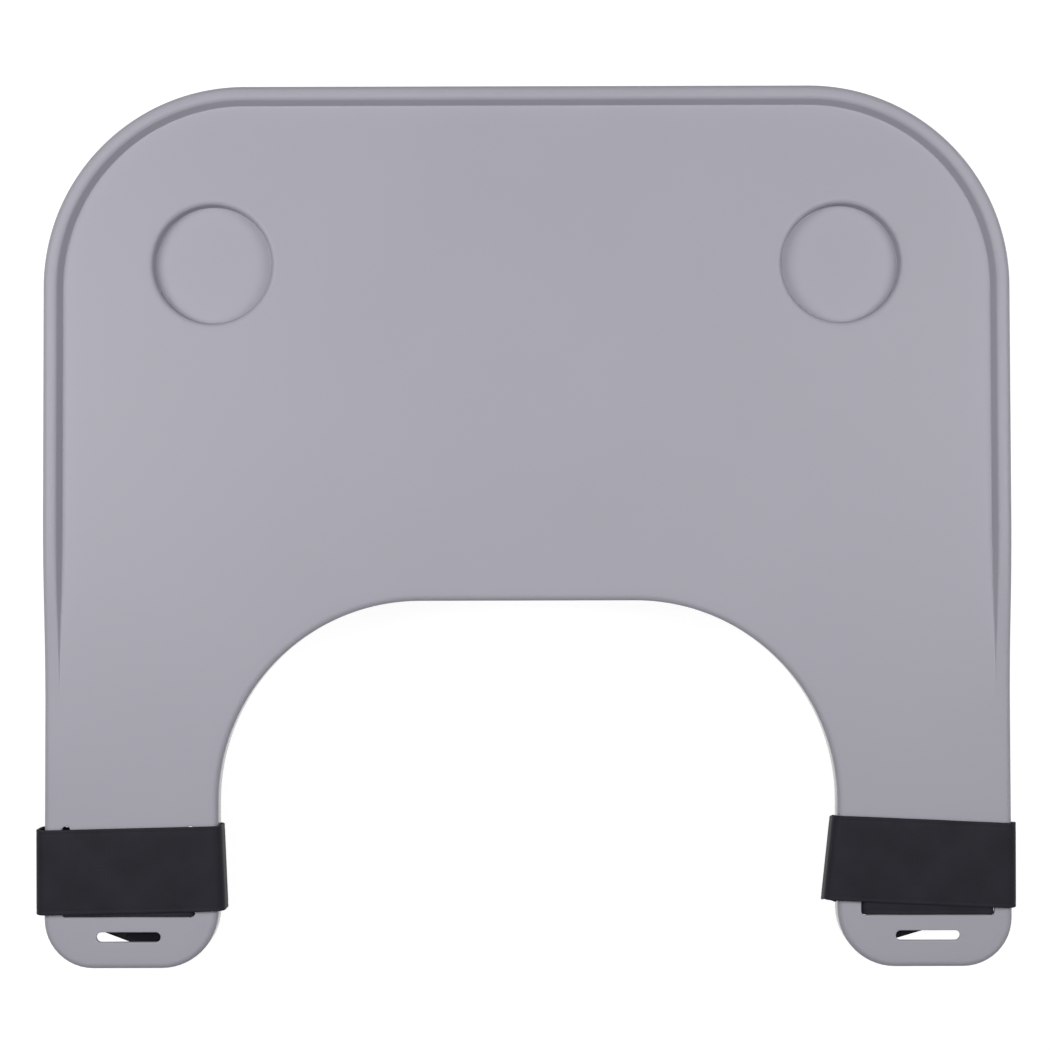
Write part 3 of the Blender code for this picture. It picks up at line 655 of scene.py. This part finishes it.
def sink_hole(tray, ends, profile, segments):
    """Walls of a round hole, or of a round-ended one between two ends, through (radius, height)
    steps; gives the edges of its first and its last ring."""
    edges, spokes = start_ring(tray, ends, profile[0][0], segments)
    first = edges
    for step, (radius, height) in enumerate(profile):
        if step:
            edges, spokes = grow_ring(tray, edges, spokes)
        for vert, (end, spoke) in spokes.items():
            vert.co = (*(end + spoke * radius), height)
    return first, edges


def cup_profile():
    """Inside of a cup recess, flat margin to floor, as (radius, height)."""
    floor_z = TRAY_TOP - CUP_DEPTH
    path = rounded_path([
        (Vector((CUP_MOUTH_RADIUS + CUP_LIP_RADIUS + FLAT_MARGIN, TRAY_TOP)), 0, 0),
        (Vector((CUP_MOUTH_RADIUS, TRAY_TOP)), CUP_LIP_RADIUS, CUP_LIP_STEPS),
        (Vector((CUP_FLOOR_RADIUS, floor_z)), CUP_FLOOR_FILLET, CUP_FLOOR_STEPS),
        (Vector((0, floor_z)), 0, 0),
    ])[:-1]
    return path + [Vector((path[-1].x - FLAT_MARGIN, floor_z))]


def bowl_profile():
    """Underside of a cup recess, one wall outside its inside."""
    run_per_depth = (CUP_MOUTH_RADIUS - CUP_FLOOR_RADIUS) / CUP_DEPTH
    shift = WALL * hypot(1, run_per_depth) - WALL * run_per_depth
    top_radius = CUP_MOUTH_RADIUS + shift
    floor_z = UNDER_Z - CUP_DEPTH
    path = rounded_path([
        (Vector((top_radius + INSIDE_RADIUS + FLAT_MARGIN, UNDER_Z)), 0, 0),
        (Vector((top_radius, UNDER_Z)), INSIDE_RADIUS, INSIDE_STEPS),
        (Vector((CUP_FLOOR_RADIUS + shift, floor_z)), BOWL_FILLET, BOWL_STEPS),
        (Vector((0, floor_z)), 0, 0),
    ])[:-1]
    return path + [Vector((path[-1].x - FLAT_MARGIN, floor_z))]


def slot_profile(width):
    """Walls of a slot, top to bottom, with eased edges, as (radius, height)."""
    radius = width / 2
    flare = radius + SLOT_EDGE + SLOT_MARGIN
    return rounded_path([
        (Vector((flare, TRAY_TOP)), 0, 0),
        (Vector((radius, TRAY_TOP)), SLOT_EDGE, SLOT_EDGE_STEPS),
        (Vector((radius, UNDER_Z)), SLOT_EDGE, SLOT_EDGE_STEPS),
        (Vector((flare, UNDER_Z)), 0, 0),
    ])


def sink_cup(tray, side):
    """One cup recess and its bowl; gives the edges round it in the top and underneath."""
    centre = [Vector((side * CUP_CENTRE_X, CUP_CENTRE_Y))]
    mouths = []
    for profile in (cup_profile(), bowl_profile()):
        mouth, floor = sink_hole(tray, centre, profile, CUP_SEGMENTS)
        bmesh.ops.contextual_create(tray, geom=floor)
        mouths.append(mouth)
    return mouths


def sink_slots(tray, side):
    """The slots of one arm; gives the edges round each in the top and underneath."""
    reach_y = Vector((0, (STRAP_SLOT_LENGTH - STRAP_SLOT_WIDTH) / 2))
    reach_x = Vector(((SMALL_SLOT_LENGTH - SMALL_SLOT_WIDTH) / 2, 0))
    slots = [
        (STRAP_SLOT_OUTER_X, STRAP_SLOT_Y, reach_y, STRAP_SLOT_WIDTH),
        (STRAP_SLOT_INNER_X, STRAP_SLOT_Y, reach_y, STRAP_SLOT_WIDTH),
        (SMALL_SLOT_X, SMALL_SLOT_Y, reach_x, SMALL_SLOT_WIDTH),
    ]
    mouths = []
    for x, y, reach, width in slots:
        middle = Vector((side * x, y))
        ends = [middle - reach, middle + reach]
        mouths.append(sink_hole(tray, ends, slot_profile(width), SLOT_SEGMENTS))
    return mouths


def make_tray(material):
    """The moulded tray: one closed shell, from its lip over the rim to the pierced top, and
    back under the panel with the bowls of the cup recesses."""
    tray = bmesh.new()
    top = tray_outline(tray)
    samples = outline_samples(top)
    lip = list(top.verts)
    for vert, (corner, outward, _) in zip(lip, samples):
        vert.co.xy = corner - outward * WALL / 2
    mould_edge(tray, top, samples, outer_section())
    under = tray.faces.new(lip[::-1])
    mould_edge(tray, under, samples[::-1], inner_section())
    mouths = []
    for side in (-1, 1):
        mouths += [sink_cup(tray, side), *sink_slots(tray, side)]
    pierce(tray, top, [upper for upper, _ in mouths])
    pierce(tray, under, [lower for _, lower in mouths])
    piece = add_piece("moulded_tray", tray, material)
    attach(piece, "tray")
    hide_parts("tray_panel")


def eased(share):
    """A share, kept from 0 to 1, that starts and ends gently."""
    share = min(max(share, 0.0), 1.0)
    return share * share * (3 - 2 * share)


def corner_stations(corners):
    """Middle line of webbing through rounded corners, each (x, z, radius, y, turn)."""
    path = rounded_path([
        (Vector((x, z)), radius, BEND_STEPS) for x, z, radius, _, _ in corners])
    bends = [corner for corner in corners[1:-1] for _ in range(BEND_STEPS + 1)]
    stations = []
    for point, corner in zip(path, [corners[0], *bends, corners[-1]]):
        y, turn = corner[3:]
        stations.append((Vector((point.x, y, point.y)), turn))
    return stations


def in_small_steps(stations):
    """The same line with stations no further apart than the webbing's step."""
    fine = [stations[0]]
    for (start, start_turn), (end, end_turn) in zip(stations, stations[1:]):
        count = max(1, ceil((end - start).length / WEBBING_STEP))
        for step in range(1, count + 1):
            share = step / count
            turn = start_turn + (end_turn - start_turn) * share
            fine.append((start.lerp(end, share), turn))
    return fine


def tail_y(lay):
    """Where the middle line lies at the foot of the outer fold, and the tail with it."""
    return STRAP_SLOT_Y + lay["outer_shift"] - lay["outer_sag"]


def tail_point(lay, distance, height):
    """A point of the tail's middle line, a distance from where the tail starts."""
    turn = lay["tail_turn"]
    return Vector((
        TAIL_START_X - distance * cos(turn), tail_y(lay) - distance * sin(turn), height))


def tail_stations(lay, start, end):
    """Stations of the tail between two distances from its start: it turns as it lies down."""
    stations = []
    count = ceil((end - start) / WEBBING_STEP)
    for step in range(count + 1):
        distance = start + (end - start) * step / count
        turn = -lay["tail_turn"] * eased(distance / TAIL_TURN_LENGTH)
        lift = TAIL_LIFT * eased(distance / TAIL_TURN_LENGTH)
        middle = tail_point(lay, distance, WRAP_UNDER_Z + lift)
        swing = tail_y(lay) - middle.y
        middle.y += swing * (1 - eased(distance / TAIL_SWING_LENGTH))
        stations.append((middle, turn))
    return stations


def strap_lines(lay):
    """Three stretches of a strap, on the right arm: the wrap, the tail and the tip."""
    slot_y = STRAP_SLOT_Y + lay["slot_shift"]
    outer_y = STRAP_SLOT_Y + lay["outer_shift"]
    inner_y = STRAP_SLOT_Y + lay["inner_shift"]
    foot_y = inner_y - lay["inner_sag"]
    outer_x = REAR_HALF_WIDTH + lay["outer_bulge"]
    inner_x = WAIST_HALF_WIDTH - lay["inner_bulge"]
    cross_x = WAIST_HALF_WIDTH + UNDER_CROSS_INSET
    cross_y = (slot_y + foot_y) / 2
    turn = lay["inner_turn"]
    seam_z = TRAY_TOP - FOLD_SEAM_DROP
    seam_y = outer_y - lay["outer_sag"] / 2
    outer_run_x = STRAP_SLOT_OUTER_X + SLOT_RUN_SHIFT
    inner_run_x = STRAP_SLOT_INNER_X - SLOT_RUN_SHIFT
    wrap = corner_stations([
        (BAND_END_X, END_Z, 0, slot_y, 0),
        (outer_run_x, END_Z, END_BEND_RADIUS, slot_y, 0),
        (outer_run_x, FIRST_LAYER_Z, SLOT_BEND_RADIUS, slot_y, 0),
        (inner_run_x, FIRST_LAYER_Z, SLOT_BEND_RADIUS, slot_y, 0),
        (inner_run_x, UNDER_Z - CROSS_DROP, CROSS_BEND_RADIUS, slot_y, 0),
        (cross_x, WRAP_UNDER_Z, CROSS_BEND_RADIUS, cross_y, turn / 2),
        (inner_x, WRAP_UNDER_Z, INNER_UNDER_RADIUS, foot_y, turn),
        (inner_x, WRAP_TOP_Z, FOLD_TOP_RADIUS, inner_y, turn),
        (outer_x, WRAP_TOP_Z, FOLD_TOP_RADIUS, outer_y, 0),
        (outer_x, seam_z, 0, seam_y, 0),
    ])
    fold = corner_stations([
        (outer_x, seam_z, 0, seam_y, 0),
        (outer_x, WRAP_UNDER_Z, OUTER_UNDER_RADIUS, tail_y(lay), 0),
        (BAND_STOP_X, WRAP_UNDER_Z, 0, tail_y(lay), 0),
    ])
    end = TAIL_LENGTH + LAY_GAP + TIP_LENGTH
    tail = in_small_steps(fold) + tail_stations(lay, 0, TAIL_SEAM)
    return in_small_steps(wrap), tail, tail_stations(lay, TAIL_SEAM, end)


def webbing_section():
    """Cross-section of the webbing, as (across, up) corners: flat, with a bead at each edge."""
    half_width = WEBBING_WIDTH / 2
    half_thickness = WEBBING_THICKNESS / 2
    quarter = [(half_width - inwards, half_thickness - depth) for inwards, depth in EDGE_PROFILE]
    flat_start = quarter[-1][0]
    upper = list(quarter)
    for step in range(1, FACE_STEPS):
        upper.append((flat_start * (1 - 2 * step / FACE_STEPS), half_thickness))
    upper += [(-across, up) for across, up in quarter[::-1]]
    return upper + [(across, -up) for across, up in upper[::-1]]


def make_webbing(name, side, stations, distance, material):
    """A length of webbing, drawn out from station to station. Its UV map follows it: U is the
    distance along the strap and V the distance across it. Gives the piece and its far end."""
    band = bmesh.new()
    along = band.verts.layers.float.new("along")
    across = band.verts.layers.float.new("across")
    section = webbing_section()
    end_face = band.faces.new([band.verts.new((0, 0, 0)) for _ in section])
    for index, (middle, turn) in enumerate(stations):
        before = stations[max(index - 1, 0)][0]
        after = stations[min(index + 1, len(stations) - 1)][0]
        if index:
            distance += (middle - before).length
            grown = bmesh.ops.extrude_face_region(band, geom=[end_face])["geom"]
            if index > 1:
                bmesh.ops.delete(band, geom=[end_face], context="FACES_ONLY")
            end_face = next(item for item in grown if isinstance(item, bmesh.types.BMFace))
        sideways = Vector((sin(turn), cos(turn), 0))
        upwards = (after - before).cross(sideways).normalized()
        for vert, (reach, up) in zip(end_face.verts, section):
            row = FRONT_EDGE_ROW if reach > 0 else REAR_EDGE_ROW
            sway = noise.noise(Vector((distance / SWAY_LENGTH, row, side)))
            swayed = reach + EDGE_SWAY * sway * abs(reach) / WEBBING_WIDTH
            vert.co = middle + sideways * swayed + upwards * up
            vert[along] = distance
            vert[across] = reach
    uv_layer = band.loops.layers.uv.new("UVMap")
    for face in band.faces:
        for loop in face.loops:
            loop[uv_layer].uv = (loop.vert[along], loop.vert[across])
    return add_piece(name, band, material, side), distance


def patch_matrix(start, direction, up):
    """Places a patch that is drawn along X and across Y with its pile towards +Z."""
    across = Vector((-direction.y, direction.x, 0))
    matrix = Matrix((direction, across, Vector((0, 0, up)))).transposed().to_4x4()
    matrix.translation = start
    return matrix


def make_tape(name, side, length, placing, material):
    """The woven backing of a tape: a thin plate with softened edges."""
    tape = bmesh.new()
    bmesh.ops.create_cube(tape, size=1)
    bmesh.ops.scale(tape, verts=tape.verts, vec=(length, TAPE_WIDTH, TAPE_BACKING))
    bmesh.ops.translate(
        tape, verts=tape.verts, vec=(length / 2, 0, SEWN_GAP + TAPE_BACKING / 2))
    bmesh.ops.bevel(
        tape, geom=tape.edges, affect="EDGES", offset=TAPE_EDGE, segments=2, profile=0.5,
        material=-1)
    bmesh.ops.transform(tape, verts=tape.verts, matrix=placing)
    return add_piece(name, tape, material, side)


def repeat(piece, step, count):
    """Repeats a piece in equal steps."""
    rows = piece.modifiers.new("rows", "ARRAY")
    rows.use_relative_offset = False
    rows.use_constant_offset = True
    rows.constant_offset_displace = step
    rows.count = count


def make_hooks(name, side, length, placing, material):
    """Rows of bent hooks, which face one way and the other in turn."""
    hooks = bmesh.new()
    stem = HOOK_TOP_Z - HOOK_BASE_Z - TAPE_TOP - 2 * HOOK_CURL_RADIUS
    for number, facing in enumerate((1, -1)):
        x = PILE_MARGIN + facing * HOOK_CURL_RADIUS
        y = PILE_MARGIN - TAPE_WIDTH / 2 + number * HOOK_ROW_PITCH
        corner = Matrix.Translation((x, y, TAPE_TOP)) @ Matrix.Scale(HOOK_WIRE / 2, 4)
        made = bmesh.ops.create_grid(hooks, x_segments=1, y_segments=1, size=1, matrix=corner)
        end_face = made["verts"][0].link_faces[0]
        grown = bmesh.ops.extrude_face_region(hooks, geom=[end_face])["geom"]
        end_face = next(item for item in grown if isinstance(item, bmesh.types.BMFace))
        bmesh.ops.translate(hooks, verts=end_face.verts, vec=(0, 0, stem))
        centre = (x - facing * HOOK_CURL_RADIUS, y, TAPE_TOP + stem)
        bmesh.ops.spin(
            hooks, geom=[end_face], cent=centre, axis=(0, -facing, 0), angle=HOOK_CURL_TURN,
            steps=HOOK_CURL_STEPS, use_duplicate=False)
    bmesh.ops.transform(hooks, verts=hooks.verts, matrix=placing)
    piece = add_piece(name, hooks, material, side)
    mirror = Vector((side, 1, 1))
    columns = int((length - 2 * PILE_MARGIN) / HOOK_PITCH) + 1
    rows = int((TAPE_WIDTH - 2 * PILE_MARGIN) / (2 * HOOK_ROW_PITCH)) + 1
    repeat(piece, placing.col[0].xyz * HOOK_PITCH * mirror, columns)
    repeat(piece, placing.col[1].xyz * 2 * HOOK_ROW_PITCH * mirror, rows)
    return piece


def make_loops(name, side, length, placing, material):
    """The nap of a loop tape: small cells of thin loops that lie every way, side by side."""
    nap = bmesh.new()
    draw = random.Random(LOOP_SEED)
    columns = int((length - 2 * PILE_MARGIN) / LOOP_CELL)
    rows = int((TAPE_WIDTH - 2 * PILE_MARGIN) / LOOP_CELL)
    first = Vector(((length - columns * LOOP_CELL) / 2, -rows * LOOP_CELL / 2))
    height = LOOP_BASE_Z - LOOP_LOW_Z - TAPE_TOP - LOOP_WIRE
    for _ in range(LOOPS_IN_CELL):
        x = first.x + draw.uniform(0, LOOP_CELL)
        y = first.y + draw.uniform(0, LOOP_CELL)
        radius = height * draw.uniform(LOOP_LOWEST_SHARE, 1)
        placed = (
            Matrix.Translation((x, y, TAPE_TOP))
            @ Matrix.Rotation(draw.uniform(0, 2 * pi), 4, "Z")
            @ Matrix.Rotation(draw.uniform(-LOOP_LEAN, LOOP_LEAN), 4, "X"))
        section = placed @ Matrix.Translation((radius, 0, 0))
        ring = bmesh.ops.create_circle(
            nap, cap_ends=True, segments=LOOP_SIDES, radius=LOOP_WIRE, matrix=section)["verts"]
        axis = placed.to_3x3() @ Vector((0, -1, 0))
        bmesh.ops.spin(
            nap, geom=list(ring[0].link_faces), cent=placed.translation, axis=axis,
            angle=pi, steps=LOOP_STEPS, use_duplicate=False)
    bmesh.ops.transform(nap, verts=nap.verts, matrix=placing)
    piece = add_piece(name, nap, material, side)
    mirror = Vector((side, 1, 1))
    repeat(piece, placing.col[0].xyz * LOOP_CELL * mirror, columns)
    repeat(piece, placing.col[1].xyz * LOOP_CELL * mirror, rows)
    return piece


def make_stitches(name, side, length, placing, material):
    """A box of stitches round a tape: they show on it and on the webbing's far face."""
    seam = bmesh.new()
    pitch = STITCH_LENGTH + STITCH_GAP
    half_width = TAPE_WIDTH / 2 - STITCH_MARGIN
    left, right = STITCH_MARGIN, length - STITCH_MARGIN
    runs = [
        (Vector((left, -half_width)), Vector((right, -half_width))),
        (Vector((right, -half_width)), Vector((right, half_width))),
        (Vector((right, half_width)), Vector((left, half_width))),
        (Vector((left, half_width)), Vector((left, -half_width))),
    ]
    for start, end in runs:
        count = int((end - start).length / pitch)
        heading = Matrix.Rotation(-(end - start).angle_signed(Vector((1, 0))), 4, "Z")
        for number in range(count):
            middle = start.lerp(end, (number + 0.5) / count)
            for height in (TAPE_TOP, -WEBBING_THICKNESS):
                bmesh.ops.create_uvsphere(
                    seam, u_segments=6, v_segments=4, radius=0.5,
                    matrix=Matrix.Translation((*middle, height)) @ heading
                    @ Matrix.Diagonal((STITCH_LENGTH, STITCH_WIDTH, STITCH_HEIGHT, 1)))
    bmesh.ops.transform(seam, verts=seam.verts, matrix=placing)
    return add_piece(name, seam, material, side)


def lay_webbing(name, side, lay, webbing):
    """The webbing of one strap: the wrap, which stays on the tray, and the tail and the tip, built
    as pieces of their own.
    """
    wrap_line, tail_line, tip_line = strap_lines(lay)

    wrap, distance = make_webbing(name + "_webbing_wrap", side, wrap_line, 0, webbing)
    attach(wrap, "tray")
    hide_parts(name + "_strap_band")

    tail, distance = make_webbing(name + "_webbing_tail", side, tail_line, distance, webbing)
    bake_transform(tail)
    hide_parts(name + "_strap_tail")

    tip, _ = make_webbing(name + "_webbing_tip", side, tip_line, distance, webbing)
    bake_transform(tip)
    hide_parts(name + "_strap_tip")


def sew_hook_tape(name, side, lay, finishes):
    """The hooks on their tape, sewn to the inside of the tail, with which they move."""
    length = TAIL_LENGTH - HOOK_END_MARGIN - HOOK_START_MARGIN
    start = tail_point(lay, HOOK_START_MARGIN, HOOK_BASE_Z)
    inwards = Vector((-cos(lay["tail_turn"]), -sin(lay["tail_turn"]), 0))
    placing = patch_matrix(start, inwards, 1)
    tape = make_tape(name + "_hook_tape", side, length, placing, finishes["backing"])
    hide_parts(name + "_hook_patch")
    hooks = make_hooks(name + "_hooks", side, length, placing, finishes["hooks"])
    seam = make_stitches(name + "_hook_stitches", side, length, placing, finishes["thread"])
    for piece in (tape, hooks, seam):
        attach(piece, name + "_tail")


def sew_loop_tape(name, side, lay, finishes):
    """The loops on their tape, sewn under the webbing's other end, which stays on the tray."""
    length = LOOP_STOP_X - LOOP_START_X
    start = Vector((LOOP_START_X, STRAP_SLOT_Y + lay["slot_shift"], LOOP_BASE_Z))
    placing = patch_matrix(start, Vector((1, 0, 0)), -1)
    tape = make_tape(name + "_loop_tape", side, length, placing, finishes["backing"])
    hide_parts(name + "_loop_patch")
    loops = make_loops(name + "_loops", side, length, placing, finishes["loops"])
    seam = make_stitches(name + "_loop_stitches", side, length, placing, finishes["thread"])
    for piece in (tape, loops, seam):
        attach(piece, "tray")


def make_straps():
    """The strap on each arm: its webbing, and the hook tape and loop tape that close it."""
    finishes = {
        "webbing": woven_webbing(), "backing": tape_backing(), "hooks": drawn_monofilament(),
        "loops": brushed_loops(), "thread": sewing_thread()}
    for name, side, lay in (("left", -1, LEFT_LAY), ("right", 1, RIGHT_LAY)):
        lay_webbing(name, side, lay, finishes["webbing"])
        sew_hook_tape(name, side, lay, finishes)
        sew_loop_tape(name, side, lay, finishes)


def shows_background(tree):
    """1 for the rays that show the background: the camera's own, reflected or passed on."""
    rays = add_node(tree, "ShaderNodeLightPath").outputs
    seen = add_node(tree, "ShaderNodeMath", {
        0: rays["Is Camera Ray"], 1: rays["Is Glossy Ray"]}, operation="MAXIMUM")
    shown = add_node(tree, "ShaderNodeMath", {
        0: seen.outputs[0], 1: rays["Is Transmission Ray"]}, operation="MAXIMUM")
    return shown.outputs[0]


def make_floor():
    """A pale floor. The camera sees it as white, and it keeps a faint shadow of the object. It
    lies lower than the tray, which leaves the peeled tails room to hang, and far away, where the
    lamps hardly reach, it glows a little more, so that it has no edge against the backdrop."""
    ground = bmesh.new()
    below = Matrix.Translation((0, 0, -FLOOR_DROP))
    bmesh.ops.create_grid(
        ground, x_segments=1, y_segments=1, size=FLOOR_HALF_WIDTH, matrix=below)
    mesh = bpy.data.meshes.new("floor")
    ground.to_mesh(mesh)
    ground.free()
    material = bpy.data.materials.new("white_studio_floor")
    material.use_nodes = True
    tree = material.node_tree
    tree.nodes.clear()
    paint = add_node(tree, "ShaderNodeBsdfDiffuse", {"Color": linear_colour("#E4E4E4")})
    shade = add_node(tree, "ShaderNodeBsdfDiffuse", {"Color": linear_colour("#909090")})
    spot = add_node(tree, "ShaderNodeTexCoord").outputs["Object"]
    away = add_node(tree, "ShaderNodeVectorMath", {0: spot}, operation="LENGTH")
    strength = add_node(tree, "ShaderNodeMapRange", {
        "Value": away.outputs["Value"], "From Min": FLOOR_FADE_START, "From Max": FLOOR_FADE_END,
        "To Min": FLOOR_GLOW, "To Max": 1.0})
    glow = add_node(tree, "ShaderNodeEmission", {
        "Color": (1, 1, 1, 1), "Strength": strength.outputs["Result"]})
    white = add_node(tree, "ShaderNodeAddShader", {0: shade.outputs[0], 1: glow.outputs[0]})
    mixed = add_node(tree, "ShaderNodeMixShader", {
        0: shows_background(tree), 1: paint.outputs[0], 2: white.outputs[0]})
    add_node(tree, "ShaderNodeOutputMaterial", {"Surface": mixed.outputs[0]})
    mesh.materials.append(material)
    floor = bpy.data.objects.new("floor", mesh)
    bpy.context.scene.collection.objects.link(floor)


def make_world():
    """Even light from all round, which the camera sees as white."""
    world = bpy.data.worlds.new("studio")
    bpy.context.scene.world = world
    world.use_nodes = True
    tree = world.node_tree
    tree.nodes.clear()
    strength = add_node(tree, "ShaderNodeMix", {
        "Factor": shows_background(tree), "A": WORLD_LEVEL, "B": 1.0}, data_type="FLOAT")
    backdrop = add_node(tree, "ShaderNodeBackground", {
        "Color": (1, 1, 1, 1), "Strength": strength.outputs["Result"]})
    add_node(tree, "ShaderNodeOutputWorld", {"Surface": backdrop.outputs[0]})


def add_softbox(name, place, width, depth, power):
    """A broad lamp, turned to the tray's middle line."""
    lamp = bpy.data.lights.new(name, "AREA")
    lamp.shape = "RECTANGLE"
    lamp.size = width
    lamp.size_y = depth
    lamp.energy = power
    softbox = bpy.data.objects.new(name, lamp)
    softbox.location = place
    middle = Vector((0, place.y, TRAY_TOP))
    softbox.rotation_euler = (middle - place).to_track_quat("-Z", "Y").to_euler()
    bpy.context.scene.collection.objects.link(softbox)


def add_lamps():
    """A softbox on either side of the tray, and a wide one overhead."""
    for name, side, power in (("left", -1, LEFT_POWER), ("right", 1, RIGHT_POWER)):
        place = Vector((side * SOFTBOX_X, SOFTBOX_Y, SOFTBOX_HEIGHT))
        add_softbox(name + "_softbox", place, SOFTBOX_WIDTH, SOFTBOX_DEPTH, power)
    place = Vector((0, OVERHEAD_Y, OVERHEAD_HEIGHT))
    add_softbox("overhead_softbox", place, OVERHEAD_SIZE, OVERHEAD_SIZE, OVERHEAD_POWER)


def add_camera():
    """The photograph's camera: straight above the middle, with a slight roll."""
    data = bpy.data.cameras.new("camera")
    data.lens = data.sensor_width * CAMERA_DISTANCE / VIEW_WIDTH
    camera = bpy.data.objects.new("camera", data)
    camera.location = (CAMERA_X, CAMERA_Y, TRAY_TOP + CAMERA_DISTANCE)
    camera.rotation_euler = (0, 0, CAMERA_ROLL)
    bpy.context.scene.collection.objects.link(camera)
    bpy.context.scene.camera = camera


make_tray(moulded_plastic())
make_straps()
make_floor()
make_world()
add_lamps()
add_camera()
bpy.context.scene.view_settings.view_transform = "Standard"
